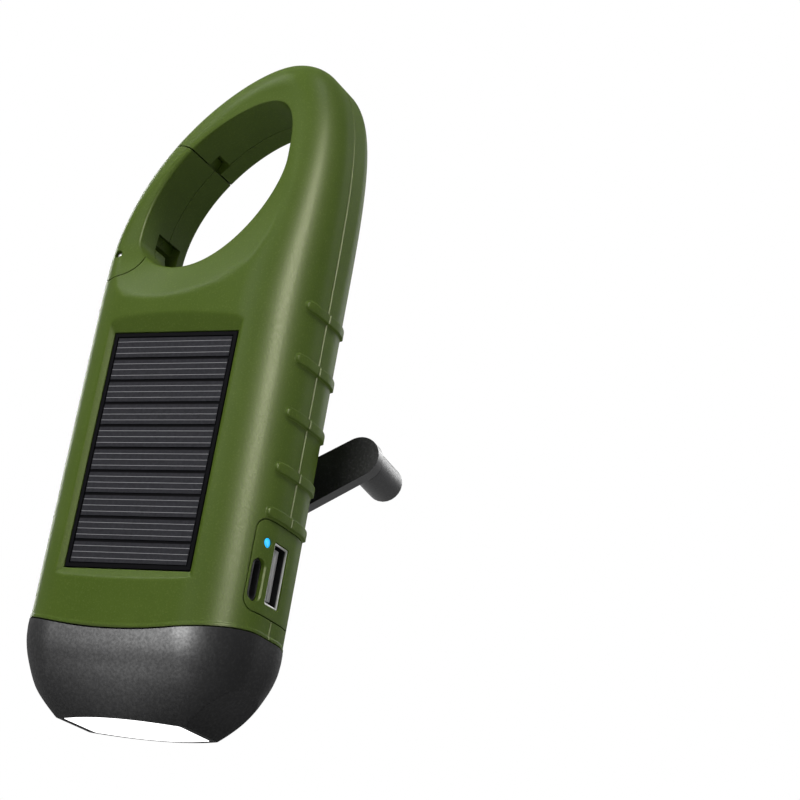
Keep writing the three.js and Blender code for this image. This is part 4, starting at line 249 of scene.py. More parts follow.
def side_line(side, handles, straight, turns):
    """One side's outline seen from the front: x, z and the direction inwards, first up the straight
    side and then round the ring to its top."""
    rise, reach = handles
    curve = [[side * HALF_WIDTH, RING_START], [side * HALF_WIDTH, RING_START + RING_RISE * rise],
             [APEX_X + side * HALF_WIDTH * reach, RING_TOP], [APEX_X, RING_TOP]]
    place, run = bezier(curve, turns)
    run /= np.linalg.norm(run, axis=1)[:, None]
    x = np.concatenate([np.full(len(straight), side * HALF_WIDTH), place[:, 0]])
    z = np.concatenate([straight, place[:, 1]])
    in_x = np.concatenate([np.full(len(straight), -float(side)), -side * run[:, 1]])
    in_z = np.concatenate([np.zeros(len(straight)), side * run[:, 0]])
    return x, z, in_x, in_z


def half_surface(right, left, depth, corner, crown, sign, flats, angles, across):
    """Half of the form, as columns from the right seam over the face to the left seam. Each row's
    section is a flat strip at the seam, a quarter circle of the corner radius, and a face that swells
    by the crown times 1 - u^2, where u is 0 at the middle and 1 at the side."""
    rx, rz, rix, riz = (v[:, None] for v in right)
    lx, lz, lix, liz = (v[:, None] for v in left)
    depth, corner, crown = depth[:, None], corner[:, None], crown[:, None]
    chord = np.hypot(rx - lx, rz - lz) / 2
    strip = depth - corner
    flat_y = np.minimum(flats, strip * flats / flats.max()) * np.ones_like(rx)
    inset = corner * (1 - np.cos(angles))
    u = np.where(chord > inset, 1 - inset / np.maximum(chord, 1e-9), 0)
    swell = crown * (1 - u * u) * np.sin(angles)
    corner_y = depth - corner + corner * np.sin(angles) + swell

    def edge(x, z, ix, iz):
        """One side's columns: the strip at the seam, then the quarter circle."""
        side = np.stack([x + 0 * flat_y, sign * flat_y, z + 0 * flat_y], -1)
        bend = np.stack([x + ix * inset, sign * corner_y, z + iz * inset], -1)
        return np.concatenate([side, bend], 1)

    start, end = edge(rx, rz, rix, riz), edge(lx, lz, lix, liz)
    share = across[None, :]
    edge_u = np.where(chord > corner, 1 - corner / np.maximum(chord, 1e-9), 0)
    face_u = edge_u * (1 - 2 * share)
    face_y = depth + crown * (1 - face_u * face_u)
    a, b = start[:, -1:, :], end[:, -1:, :]
    face = np.stack([mix(a[..., 0], b[..., 0], share), sign * face_y, mix(a[..., 2], b[..., 2], share)], -1)
    return np.concatenate([start, face, end[:, ::-1]], 1)


def mesh_piece(name, points, faces):
    """A Blender object from points in millimetres."""
    mesh = bpy.data.meshes.new(name)
    mesh.from_pydata(np.asarray(points, float).tolist(), [], [list(map(int, f)) for f in faces])
    piece = bpy.data.objects.new(name, mesh)
    scene.collection.objects.link(piece)
    return piece


def ring_faces(rows, size):
    """Quads between consecutive closed rows of size points each."""
    j, i = np.meshgrid(np.arange(rows - 1), np.arange(size), indexing="ij")
    a = (j * size + i).ravel()
    b = (j * size + (i + 1) % size).ravel()
    return np.stack([a, b, b + size, a + size], -1).tolist()


def tidy_mesh(piece, merge=0.0005):
    """Doubles merged, degenerate faces dissolved and normals turned outwards."""
    work = bmesh.new()
    work.from_mesh(piece.data)
    bmesh.ops.remove_doubles(work, verts=work.verts, dist=merge)
    bmesh.ops.dissolve_degenerate(work, edges=work.edges, dist=merge)
    bmesh.ops.recalc_face_normals(work, faces=work.faces)
    work.to_mesh(piece.data)
    work.free()
    return piece


def loft(name, rows, closing=False):
    """A closed skin over loops of equal count, with a flat cap on each end. A form that closes by
    itself, where its last loop folds onto itself, takes no cap there."""
    rows = np.asarray(rows, float)
    count, size = rows.shape[:2]
    faces = ring_faces(count, size)
    ring = np.arange(size)
    faces.append(ring[::-1].tolist())
    if not closing:
        faces.append((ring + (count - 1) * size).tolist())
    return tidy_mesh(mesh_piece(name, rows.reshape(-1, 3), faces))


def effect_group(name, inputs, outputs):
    """An empty node group with the named sockets, and its group input and output nodes."""
    tree = bpy.data.node_groups.new(name, "ShaderNodeTree")
    for socket, kind, default in inputs:
        item = tree.interface.new_socket(socket, in_out="INPUT", socket_type=kind)
        item.default_value = default
    for socket, kind in outputs:
        tree.interface.new_socket(socket, in_out="OUTPUT", socket_type=kind)
    wire = Wiring(tree)
    return tree, wire, wire.add("NodeGroupInput"), wire.add("NodeGroupOutput")


def blend(wire, share, first, second):
    """The colour at a share of the way from the first to the second."""
    ends = [end if isinstance(end, bpy.types.NodeSocket) else (*end, 1) for end in (first, second)]
    return wire.add("ShaderNodeMix", {0: share, 6: ends[0], 7: ends[1]}, data_type="RGBA").outputs[2]


def noise(wire, scale, detail=2.0, roughness=0.5):
    """Noise of a given scale, fixed to the piece's own coordinates."""
    place = wire.add("ShaderNodeTexCoord").outputs["Object"]
    return wire.add("ShaderNodeTexNoise", {"Vector": place, "Scale": scale, "Detail": detail,
                                           "Roughness": roughness}).outputs["Fac"]


def grain_group():
    """Mould grain: fine noise for the height and the speckle, slow noise for the mottling, and wear
    where an edge's rounded normal turns away from the flat one."""
    number = "NodeSocketFloat"
    tree, wire, given, out = effect_group(
        "mould_grain", [("Size", number, 2500.0), ("Depth", number, 0.3), ("Edge", number, 0.0004)],
        [("Normal", "NodeSocketVector"), ("Speckle", number), ("Mottle", number), ("Wear", number)])
    fine = noise(wire, given.outputs["Size"], 2.0, 0.6)
    round_edge = wire.add("ShaderNodeBevel", {"Radius": given.outputs["Edge"]}, samples=6).outputs[0]
    bump = wire.add("ShaderNodeBump", {"Strength": given.outputs["Depth"], "Distance": 0.0001,
                                       "Height": fine, "Normal": round_edge})
    flat = wire.add("ShaderNodeNewGeometry").outputs["Normal"]
    turn = wire.add("ShaderNodeVectorMath", {0: round_edge, 1: flat}, operation="DOT_PRODUCT")
    wear = carry(wire, turn.outputs["Value"], 0.995, 0.86)
    for socket, source in (("Normal", bump.outputs[0]), ("Speckle", fine),
                           ("Mottle", noise(wire, 45.0, 3.0)), ("Wear", wear)):
        wire.link(source, out.inputs[socket])
    return tree


GRAIN = grain_group()


def shade(wire, inputs):
    """The Principled shader on a material's output, with the given sockets set or linked."""
    surface = wire.add("ShaderNodeBsdfPrincipled", inputs)
    wire.add("ShaderNodeOutputMaterial", {"Surface": surface.outputs[0]})


def moulded(name, deep, light, worn, size=2500.0, depth=0.25, edge=0.0004, rough=(0.38, 0.5), specular=0.5,
            skin=0.0, satin=0.40):
    """A grained plastic. Its tone runs from deep to light with the mottling, and to worn on the tops of
    the grain and along broken edges. Its roughness follows the grain between the two given values. A
    skin is a thin satin coat, fainter on the tops of the grain."""
    material, wire = new_material(name)
    grain = wire.add("ShaderNodeGroup", node_tree=GRAIN)
    for socket, value in (("Size", size), ("Depth", depth), ("Edge", edge)):
        grain.inputs[socket].default_value = value
    speckle = grain.outputs["Speckle"]
    tone = blend(wire, carry(wire, grain.outputs["Mottle"], 0.35, 0.65), deep, light)
    tone = blend(wire, carry(wire, speckle, 0.52, 0.74, 0, 0.55), tone, worn)
    tone = blend(wire, carry(wire, grain.outputs["Wear"], 0, 1, 0, 0.6), tone, worn)
    inputs = {"Base Color": tone, "Roughness": carry(wire, speckle, 0.3, 0.7, *rough),
              "Normal": grain.outputs["Normal"], "Specular IOR Level": specular}
    if skin:
        inputs["Coat Weight"] = carry(wire, speckle, 0.3, 0.7, skin * 1.3, skin * 0.7)
        inputs["Coat Roughness"] = satin
    shade(wire, inputs)
    return material


OLIVE = moulded("olive_plastic", (0.065, 0.106, 0.012), (0.075, 0.118, 0.016), (0.12, 0.17, 0.04),
                rough=(0.45, 0.6), specular=0.0, skin=0.17)


# Ring hole and its dished faces. The hole is an oval of four quarter curves that leans towards the
# socket side; both faces are dished towards it, and its rims are rounded for the finger.
HOLE_TOP = (HALF_WIDTH * 0.38, RING_TOP - 12.4)
HOLE_RIGHT = (HALF_WIDTH - 10.3, RING_START + RING_RISE * 0.503)
HOLE_BOTTOM = (HALF_WIDTH * -0.233, RING_START + 1.6)
HOLE_LEFT = (10.3 - HALF_WIDTH, RING_START + RING_RISE * 0.16)
HOLE_REACHES = (1, 0.48, 0.35, 0.545, 0.63, 0.4, 0.6, 0.3)
DISH_EVEN = (0.552,) * 8
DISH_FRONT = {"inner": FRONT_DEPTH - 3.6, "outer": FRONT_DEPTH + CROWN + 0.6,
              "ends": [(HALF_WIDTH * 0.52, RING_TOP - 0.7), (HALF_WIDTH + 9, RING_START + RING_RISE * 0.484),
                       (HALF_WIDTH * -0.37, RING_START - 9),
                       (-HALF_WIDTH - 13, RING_START + RING_RISE * 0.26)]}
DISH_BACK = {"inner": 5.5, "outer": BACK_DEPTH + CROWN + 0.8,
             "ends": [(HALF_WIDTH * 0.41, RING_TOP + 3.3), (HALF_WIDTH + 5, RING_START + RING_RISE * 0.484),
                      (HALF_WIDTH * -0.3, RING_START - 12), (-HALF_WIDTH - 5, RING_START + RING_RISE * 0.22)]}
HOLE_STEPS = 40
RIM_RADIUS = 0.9
FLARE = 3
SPOOL_END = 22.0


def quarters(ends, shares, steps):
    """A closed curve through its top, right, bottom and left points, clockwise from the top, whose
    handles are shares of the spans between them."""
    (tx, tz), (rx, rz), (bx, bz), (lx, lz) = ends
    tr, ru, rd, br, bl, ld, lu, tl = shares
    curves = [
        [(tx, tz), (tx + (rx - tx) * tr, tz), (rx, rz + (tz - rz) * ru), (rx, rz)],
        [(rx, rz), (rx, rz - (rz - bz) * rd), (bx + (rx - bx) * br, bz), (bx, bz)],
        [(bx, bz), (bx - (bx - lx) * bl, bz), (lx, lz - (lz - bz) * ld), (lx, lz)],
        [(lx, lz), (lx, lz + (tz - lz) * lu), (tx - (tx - lx) * tl, tz), (tx, tz)]]
    share = np.arange(steps) / steps
    return np.concatenate([bezier(curve, share)[0] for curve in curves])


HOLE_ENDS = [HOLE_TOP, HOLE_RIGHT, HOLE_BOTTOM, HOLE_LEFT]
HOLE = quarters(HOLE_ENDS, HOLE_REACHES, HOLE_STEPS)
HOLE_RUN = np.roll(HOLE, -1, 0) - np.roll(HOLE, 1, 0)
HOLE_RUN /= np.linalg.norm(HOLE_RUN, axis=1)[:, None]
HOLE_OUT = np.stack([-HOLE_RUN[:, 1], HOLE_RUN[:, 0]], -1)


def reach_to(curve):
    """How far each ray square to the hole's edge runs before it meets a wider closed curve."""
    a = curve[None]
    e = np.roll(curve, -1, 0)[None] - a
    w = a - HOLE[:, None]
    d = HOLE_OUT[:, None]
    cross = d[..., 0] * e[..., 1] - d[..., 1] * e[..., 0]
    cross = np.where(np.abs(cross) < 1e-12, 1e-12, cross)
    along = (w[..., 0] * e[..., 1] - w[..., 1] * e[..., 0]) / cross
    share = (w[..., 0] * d[..., 1] - w[..., 1] * d[..., 0]) / cross
    good = (along > 0) & (share >= -1e-6) & (share <= 1 + 1e-6)
    return np.where(good, along, np.inf).min(1)


for dish in (DISH_FRONT, DISH_BACK):
    dish["reach"] = reach_to(quarters(dish["ends"], DISH_EVEN, HOLE_STEPS))


def dish_depth(dish, x, z):
    """Depth of a dished face at points (x, z): from inner at the hole's edge it grows evenly along
    the ray square to that edge, to outer at the wider curve."""
    flat = np.stack([x.ravel(), z.ravel()], -1)
    a, b = HOLE, np.roll(HOLE, -1, 0)
    e = b - a
    share = ((flat[:, None] - a) * e).sum(-1) / (e * e).sum(-1)
    share = np.clip(share, 0, 1)
    foot = a + share[..., None] * e
    gap = np.linalg.norm(flat[:, None] - foot, axis=-1)
    best = gap.argmin(1)
    pick = np.arange(len(flat))
    reach = mix(dish["reach"][best], np.roll(dish["reach"], -1)[best], share[pick, best])
    away = flat - HOLE[best]
    side = np.sign((away * HOLE_OUT[best]).sum(-1))
    depth = mix(dish["inner"], dish["outer"], side * gap[pick, best] / reach)
    return depth.reshape(x.shape)


def hole_spool():
    """The hole's cutter: the hole's own outline through the body, flared at both faces by an arc
    that runs from the wall into the dish's slope."""
    rows = []
    for dish, sign in ((DISH_FRONT, -1), (DISH_BACK, 1)):
        slope = (dish["outer"] - dish["inner"]) / dish["reach"]
        last = math.pi / 2 - np.arctan(slope)
        centre = dish["inner"] + slope * RIM_RADIUS * (1 - np.cos(last)) - RIM_RADIUS * np.sin(last)
        side = []
        for share in np.linspace(0, 1, 9):
            turn = last * share
            side.append((RIM_RADIUS * (1 - np.cos(turn)), centre + RIM_RADIUS * np.sin(turn)))
        end, level = side[-1]
        side.append((end + FLARE, level + slope * FLARE + 0.5))
        side.append((end + FLARE, np.full_like(slope, SPOOL_END)))
        loops = [np.stack([HOLE[:, 0] + HOLE_OUT[:, 0] * off, sign * depth * np.ones(len(HOLE)),
                           HOLE[:, 1] + HOLE_OUT[:, 1] * off], -1) for off, depth in side]
        rows += loops[::-1] if sign < 0 else loops
    return loft("hole_cutter", rows)


# Grip ribs, the recess for the panel and the lip over the lamp head are raised or sunk in the same
# surface, as the mould has them, with soft feet.
RIB_DROP = 6.4
RIB_PITCH = 12.1
LAST_RIB_LIFT = 2.3
RIB_HALF = 1.2
RIB_PROUD = 0.6
RIB_ROWS = np.array([0, 0.5, 0.8, 0.94, 1.08, 1.22, 1.36, 1.6])
RIB_FRONT = -8.3
RIB_BACK = 10.5
PANEL_HALF = 15.3
PANEL_LOW = 30.0
PANEL_HIGH = 82.5
PANEL_FACE = 15.6
PANEL_GAP = 0.3
RAMP_SIDE = 1.2
RAMP_LOW = 1.4
RAMP_HIGH = 2.35
SEAM_HALF = 0.1
GROOVE_HALF = 0.36
GROOVE_DEPTH = 0.2
LIP_HEIGHT = 0.75
LIP_PROUD = 0.14
SEAM_FADE = 9
DISH_REACH = 22
DISH_BLEND = 0.5
RAMP_BLEND = 0.18


def ease(value, start, end):
    """0 before start, 1 after end, and the smooth step 3s^2 - 2s^3 between."""
    share = np.clip((value - start) / (end - start), 0, 1)
    return share * share * (3 - 2 * share)


def soft_min(a, b, width):
    """The lesser of a and b, blended by a parabola where they differ by less than width."""
    share = np.clip(0.5 + 0.5 * (b - a) / width, 0, 1)
    return mix(b, a, share) - width * share * (1 - share)


def rib_levels(side):
    """The heights of a side's five ribs. The last on the right is lifted to clear the port panel."""
    levels = [RING_START - RIB_DROP - RIB_PITCH * k for k in range(5)]
    if side > 0:
        levels[-1] += LAST_RIB_LIFT
    return levels


def body_rows():
    """Row heights of the straight part: closer at ribs, at the recess's ends and at the lip."""
    levels = [np.linspace(HEAD_SEAM, HEAD_SEAM + 2.2, 14), np.arange(19.4, RING_START, 1.3)]
    for side in (1, -1):
        for level in rib_levels(side):
            levels += [level - RIB_ROWS, level + RIB_ROWS]
    levels += [np.arange(26.4, 30.4, 0.35), np.arange(82.0, 88.5, 0.4)]
    rows = np.unique(np.round(np.concatenate(levels), 3))
    kept = [rows[0]]
    for row in rows[1:]:
        if row - kept[-1] > 0.11:
            kept.append(row)
    return np.array(kept)


def rib_height(z, y, side):
    """How proud a rib stands at (z, y) on a side: flat on top with eased flanks, by the distance from
    its middle line, and so round at its two ends."""
    past = np.maximum(np.maximum(RIB_FRONT + RIB_HALF - y, y - RIB_BACK + RIB_HALF), 0)
    rise = 0 * z
    for level in rib_levels(side):
        rise = np.maximum(rise, 1 - ease(np.hypot(z - level, past), RIB_HALF * 0.76, RIB_HALF * 1.06))
    return RIB_PROUD * rise


def recess_depth(x, z):
    """Depth of the ramps round the panel: they rise from its edge, each side at its own slope."""
    half, low, high = PANEL_HALF + PANEL_GAP, PANEL_LOW - PANEL_GAP, PANEL_HIGH + PANEL_GAP
    ends = np.maximum((low - z) / RAMP_LOW, (z - high) / RAMP_HIGH)
    rise = np.maximum((np.abs(x) - half) / RAMP_SIDE, ends)
    return PANEL_FACE + np.maximum(rise, -0.25)


def raise_sides(grid, right, left, flats, angles, count):
    """Moves the side columns along the section's own normal: out for the ribs, and in for the small
    radius along the parting line."""
    turn = np.concatenate([np.zeros(len(flats)), angles])
    for edge, side in ((right, 1), (left, -1)):
        columns = slice(0, count) if side > 0 else slice(grid.shape[1] - count, None)
        part = grid[:, columns] if side > 0 else grid[:, columns][:, ::-1]
        level, y = part[..., 2], part[..., 1]
        rise = rib_height(level, y, side)
        groove = GROOVE_DEPTH * (1 - ease(np.abs(y), SEAM_HALF, GROOVE_HALF))
        amount = rise - groove
        sign = 1 if part[0, count - 1, 1] > 0 else -1
        out = np.stack([-edge[2][:, None] * np.cos(turn), sign * np.sin(turn) * np.ones((len(part), 1)),
                        -edge[3][:, None] * np.cos(turn)], -1)
        moved = part + out * amount[..., None]
        grid[:, columns] = moved if side > 0 else moved[:, ::-1]
    return grid


def body_form():
    """The whole outer form of the body and ring, on one grid of rows and columns. Each row's section
    has its depth and corner eased from the body's to the ring's, its sides raised by the ribs, and
    its face held down to the dishes and the ramps. At the foot the lip swells it a little, and the
    rows bend up with the square of x along the head's seam."""
    straight = body_rows()
    turns = np.concatenate([np.linspace(0, 0.9, 74), np.linspace(0.9, 1, 18)[1:]])
    straight = straight[straight < RING_START - 0.05]
    right = side_line(1, RIGHT_HANDLES, straight, turns)
    left = side_line(-1, LEFT_HANDLES, straight, turns)
    z = (right[1] + left[1]) / 2
    front_share, back_share = ease(z, *FRONT_TAPER), ease(z, *BACK_TAPER)
    crown = mix(CROWN, 0, ease(z, FRONT_TAPER[0], BACK_TAPER[1]))
    front = FRONT_DEPTH - FRONT_DROP * front_share
    back = BACK_DEPTH - BACK_DROP * back_share
    front_corner = mix(FRONT_CORNER, RING_FRONT_CORNER, front_share)
    back_corner = mix(BACK_CORNER, RING_BACK_CORNER, back_share)
    flats = np.array([0.0, 0.1, 0.16, 0.24, 0.34, 0.46, 0.7, 1.6, 2.5])
    angles = np.radians(np.concatenate([
        np.linspace(0, 16, 5), np.arange(17.5, 29, 0.9), np.arange(30, 41, 1.0), np.linspace(43, 73, 9),
        np.linspace(75, 90, 12)]))
    across = np.linspace(0, 1, 50)[1:-1]
    halves = []
    for depth, corner, sign in ((back, back_corner, 1), (front, front_corner, -1)):
        grid = half_surface(right, left, depth, corner, crown, sign, flats, angles, across)
        count = len(flats) + len(angles)
        grid = raise_sides(grid, right, left, flats, angles, count)
        x, y, level = grid[..., 0], np.abs(grid[..., 1]), grid[..., 2]
        dish = DISH_BACK if sign > 0 else DISH_FRONT
        near = level > RING_START - DISH_REACH
        lowered = y.copy()
        lowered[near] = soft_min(y[near], dish_depth(dish, x[near], level[near]), DISH_BLEND)
        if sign < 0:
            lowered = soft_min(lowered, recess_depth(x, level), RAMP_BLEND)
        grid[..., 1] = sign * lowered
        halves.append(grid)
    back_half, front_half = halves
    loops = np.concatenate([back_half, front_half[:, ::-1][:, 1:-1]], 1)
    lip = 1 - ease(loops[..., 2], HEAD_SEAM + LIP_HEIGHT * 0.7, HEAD_SEAM + LIP_HEIGHT * 1.2)
    loops[..., :2] *= (1 + LIP_PROUD / HALF_WIDTH * lip)[..., None]
    bend = 1 - ease(loops[..., 2], HEAD_SEAM, HEAD_SEAM + SEAM_FADE)
    loops[..., 2] += SEAM_RISE * (loops[..., 0] / HALF_WIDTH) ** 2 * bend
    return loft("body_form", loops, True)


# Gate. A sprung arc of the ring, moulded in two halves, turns about a steel pin. A fork at its foot
# straddles a lug of the ring, and the tongue on its end catches in a slot in the ring.
MM = 0.001
KNUCKLE = 6.2
PIVOT = (KNUCKLE - HALF_WIDTH, RING_START + 4.5)
GATE_REACH = 28.9
GATE_GAP = 0.3
GATE_SEAM = -2.0
GATE_ZONE = (math.radians(7.5), math.radians(200))
GATE_START = math.radians(38)
GATE_X = (-60, 30)
GATE_Z = (80, 160)
FORK = (-6.3, 2.9)
POCKET_REACH = 9.3
POCKET_TURN = math.radians(74)
LUG_RADIUS = 5.9
LUG = (-6.0, -1.9)
PIN_BORE = 0.95
TONGUE = {"length": 2.6, "root": 2.4, "front": -4.4, "back": 0.1,
          "from": math.radians(66.5), "to": math.radians(72.1)}
SLOT_FROM = math.radians(55)
DEEP = 24.0


def prism(name, outline, axis, low, high):
    """A straight prism on a closed outline. The outline's two coordinates are the two other axes."""
    outline = np.asarray(outline, float)
    return loft(name, [np.insert(outline, axis, level, axis=1) for level in (low, high)])


def block(name, xs, ys, zs):
    """A plain box over a range on each axis, used only as a cutter."""
    (x0, x1), (y0, y1) = xs, ys
    return prism(name, [(x0, y0), (x1, y0), (x1, y1), (x0, y1)], 2, *zs)


def combine(piece, operation, others):
    """Joins, cuts or intersects a piece with each of the others in turn, and removes them."""
    for other in others:
        change = piece.modifiers.new("combine", "BOOLEAN")
        change.operation = operation
        change.solver = "MANIFOLD"
        change.object = other
        graph = bpy.context.evaluated_depsgraph_get()
        result = bpy.data.meshes.new_from_object(piece.evaluated_get(graph))
        piece.modifiers.clear()
        piece.data = result
        bpy.data.objects.remove(other)
    return piece


def cut(piece, *others):
    """The piece less the others."""
    return combine(piece, "DIFFERENCE", others)


def keep(piece, *others):
    """The part of the piece that lies inside the others."""
    return combine(piece, "INTERSECT", others)


def fuse(piece, *others):
    """The piece joined to the others."""
    return combine(piece, "UNION", others)


def twin(piece, name):
    """A second piece with its own copy of the mesh."""
    other = piece.copy()
    other.data = piece.data.copy()
    other.name = name
    scene.collection.objects.link(other)
    return other


def disc(u, v, radius, sides=48):
    """A circle's points, anticlockwise."""
    angles = np.arange(sides) / sides * 2 * math.pi
    return np.stack([u + radius * np.cos(angles), v + radius * np.sin(angles)], -1)


def sector(inner, outer, start, end, steps=48):
    """A slice of a disc or ring about the gate's pivot."""
    turns = np.linspace(start, end, steps)
    rim = np.stack([PIVOT[0] + outer * np.cos(turns), PIVOT[1] + outer * np.sin(turns)], -1)
    if inner > 0:
        back = turns[::-1]
        core = np.stack([PIVOT[0] + inner * np.cos(back), PIVOT[1] + inner * np.sin(back)], -1)
    else:
        core = np.array([PIVOT])
    return np.concatenate([rim, core])


def gate_room():
    """The room that the gate turns in, less the lug that its fork straddles."""
    room = prism("room", sector(0, GATE_REACH, *GATE_ZONE), 1, -DEEP, DEEP)
    fuse(room, prism("knuckle", disc(*PIVOT, KNUCKLE + GATE_GAP, 64), 1, -DEEP, DEEP))
    cut(room, prism("lug", disc(*PIVOT, LUG_RADIUS, 64), 1, *LUG),
        prism("foot", sector(0, KNUCKLE + 1, math.radians(-160), 0), 1, *LUG))
    return room


def gate_pieces(ring):
    """The gate's two halves, cut from the ring itself."""
    outline = prism("arc", sector(0, GATE_REACH - GATE_GAP, GATE_START, GATE_ZONE[1]), 1, -DEEP, DEEP)
    fuse(outline, prism("knuckle", disc(*PIVOT, KNUCKLE, 64), 1, -DEEP, DEEP))
    blank = keep(twin(ring, "gate_blank"), outline)
    cut(blank, prism("fork", disc(*PIVOT, KNUCKLE + 1, 64), 1, *FORK),
        prism("pocket", sector(0, POCKET_REACH, math.radians(-90), POCKET_TURN), 1, *FORK),
        prism("bore", disc(*PIVOT, PIN_BORE, 32), 1, -DEEP, DEEP))
    back_room = block("back_room", GATE_X, (GATE_SEAM + SEAM_HALF, DEEP), GATE_Z)
    back = keep(twin(blank, "gate_back_half"), back_room)
    front = keep(blank, block("front_room", GATE_X, (-DEEP, GATE_SEAM - SEAM_HALF), GATE_Z))
    front.name = "gate_front_half"
    nose = sector(GATE_REACH - 0.6, GATE_REACH + TONGUE["length"], TONGUE["from"], TONGUE["to"], 12)
    root = sector(GATE_REACH - TONGUE["root"], GATE_REACH + GATE_GAP, TONGUE["from"], TONGUE["to"], 12)
    fuse(front, prism("root", root, 1, TONGUE["front"], GATE_SEAM - SEAM_HALF))
    fuse(front, prism("nose", nose, 1, TONGUE["front"], TONGUE["back"]))
    return front, back


def even_normals(piece):
    """Lets large faces decide the shading at their borders, so that flat faces stay flat."""
    even = piece.modifiers.new("even_normals", "WEIGHTED_NORMAL")
    even.mode = "FACE_AREA"
    even.keep_sharp = True


def finished(piece, body, material, nodes, sharp=30, merge=0.002):
    """Puts a piece into metres, shades it smooth except at sharp edges, gives it its material and
    hangs it on its body in place of its CAD nodes."""
    work = bmesh.new()
    work.from_mesh(piece.data)
    bmesh.ops.remove_doubles(work, verts=work.verts, dist=merge)
    bmesh.ops.dissolve_degenerate(work, edges=work.edges, dist=merge)
    work.to_mesh(piece.data)
    work.free()
    piece.data.transform(Matrix.Scale(MM, 4))
    piece.data.shade_smooth()
    piece.data.set_sharp_from_angle(angle=math.radians(sharp))
    piece.data.materials.clear()
    piece.data.materials.append(material)
    even_normals(piece)
    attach(piece, body)
    if nodes:
        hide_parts(*nodes)
    return piece


form = cut(body_form(), hole_spool())
gate_front, gate_back = gate_pieces(form)
slot = sector(GATE_REACH - 1, GATE_REACH + TONGUE["length"] + GATE_GAP, SLOT_FROM,
              TONGUE["to"] + GATE_GAP / GATE_REACH, 12)
cut(form, gate_room(), prism("slot", slot, 1, TONGUE["front"] - GATE_GAP, TONGUE["back"] + GATE_GAP),
    prism("bore", disc(*PIVOT, PIN_BORE, 32), 1, -DEEP, DEEP))
finished(gate_front, "gate", OLIVE, ["gate_front"])
finished(gate_back, "gate", OLIVE, ["gate_back"])


# Shells. Two hollow halves meet on the parting line, round the port panel and the switch button. The
# front one holds the solar panel, and the back one the crank's bearing. Five sunk screws close them
# from behind, where a pocket takes the folded knob.
BODY_X = (-60, 60)
BODY_Z = (0, 160)
BODY_DEEP = 40
CAVITY = (HALF_WIDTH - 2, 12.4, 15.0, 86.0, 11.0)
FIT_GAP = 0.3
PANEL_SEAT = 1.6
PORT_SEAT = 1.5
PORT_Z = 34.2
PORT_SIZE = (18.9, 19.2)
PORT_CORNER = 2.4
BUTTON = {"z": 30.0, "height": 9.0, "width": 5.6, "corner": 2.6}
SCREWS = [(19.0, 24.3, 11.6), (-19.0, 24.3, 11.6), (20.5, 82.4, 11.6), (-20.5, 82.4, 11.6),
          (21.2, 121.5, 5.4)]
SCREW_HEAD = 2.0
SCREW_SHANK = 1.1
HUB_Z = 50.3
HUB_BORE = 4.3
POCKET_WALL = 1.2
BEARING = {"radius": 6.0, "low": 13.4, "high": 15.5}
POCKET = {"half": 5.2, "low": 65.6, "floor_high": 76.4, "mouth_high": 79.4, "floor": 4.4, "corner": 2.5}


def round_outline(u, v, width, height, corner, steps=8):
    """A rounded rectangle about (u, v), anticlockwise."""
    angles = np.linspace(0, math.pi / 2, steps + 1)
    corners = [(1, -1, -math.pi / 2), (1, 1, 0), (-1, 1, math.pi / 2), (-1, -1, math.pi)]
    points = []
    for su, sv, turn in corners:
        cu, cv = u + su * (width / 2 - corner), v + sv * (height / 2 - corner)
        around = angles + turn
        points.append(np.stack([cu + corner * np.cos(around), cv + corner * np.sin(around)], -1))
    return np.concatenate(points)


def cavity():
    """The hollow inside the two shells."""
    side, front, back, top, corner = CAVITY
    outline = round_outline(0, (back - front) / 2, side * 2, front + back, corner, 10)
    return prism("cavity", outline, 2, HEAD_SEAM - 8, top)


def port_outline(grow):
    """The port panel's outline seen from the side, drawn out by grow."""
    width, tall = PORT_SIZE
    return round_outline(0, PORT_Z, width + grow * 2, tall + grow * 2, PORT_CORNER + grow)


def button_window():
    """The way through the left side for the switch button."""
    outline = round_outline(0, BUTTON["z"], BUTTON["width"] + FIT_GAP * 2, BUTTON["height"] + FIT_GAP * 2,
                            BUTTON["corner"] + FIT_GAP)
    return prism("button_window", outline, 0, -HALF_WIDTH - 1, -HALF_WIDTH / 2)


def section_prism(inset, low, high):
    """The body's plain section, drawn in by an inset, as a prism."""
    points = []
    for sign, depth, corner in ((1, BACK_DEPTH, BACK_CORNER), (-1, FRONT_DEPTH, FRONT_CORNER)):
        depth, corner, half = depth - inset, corner - inset, HALF_WIDTH - inset
        turn = np.linspace(0, math.pi / 2, 33)
        x = half - corner * (1 - np.cos(turn))
        u = x / half
        y = depth - corner + corner * np.sin(turn) + CROWN * (1 - u * u) * np.sin(turn)
        row = np.concatenate([np.stack([x, sign * y], -1), np.stack([-x, sign * y], -1)[::-1]])
        points.append(row if sign > 0 else row[::-1])
    return prism("section", np.concatenate(points), 2, low, high)


def knob_pocket(wall=0.0):
    """The room for the folded knob, whose upper end slopes out to the mouth. With a wall it is the
    block round that room."""
    rows = []
    face = BACK_DEPTH + CROWN
    steps = ((POCKET["floor"] - wall, wall), (face - 2, wall))
    if not wall:
        steps = ((POCKET["floor"], -0.8), (POCKET["floor"] + 0.25, -0.25), (POCKET["floor"] + 0.8, 0),
                 (face - 0.8, 0), (face - 0.35, 0.12), (face - 0.05, 0.5), (face + 3, 1.2))
    for y, grow in steps:
        share = (y - POCKET["floor"]) / (face + 3 - POCKET["floor"])
        high = mix(POCKET["floor_high"], POCKET["mouth_high"], share)
        height = high - POCKET["low"] + grow * 2
        outline = round_outline(0, (high + POCKET["low"]) / 2, POCKET["half"] * 2 + grow * 2, height,
                                POCKET["corner"] + grow)
        rows.append(np.insert(outline, 1, y, axis=1))
    return loft("knob_pocket", rows)


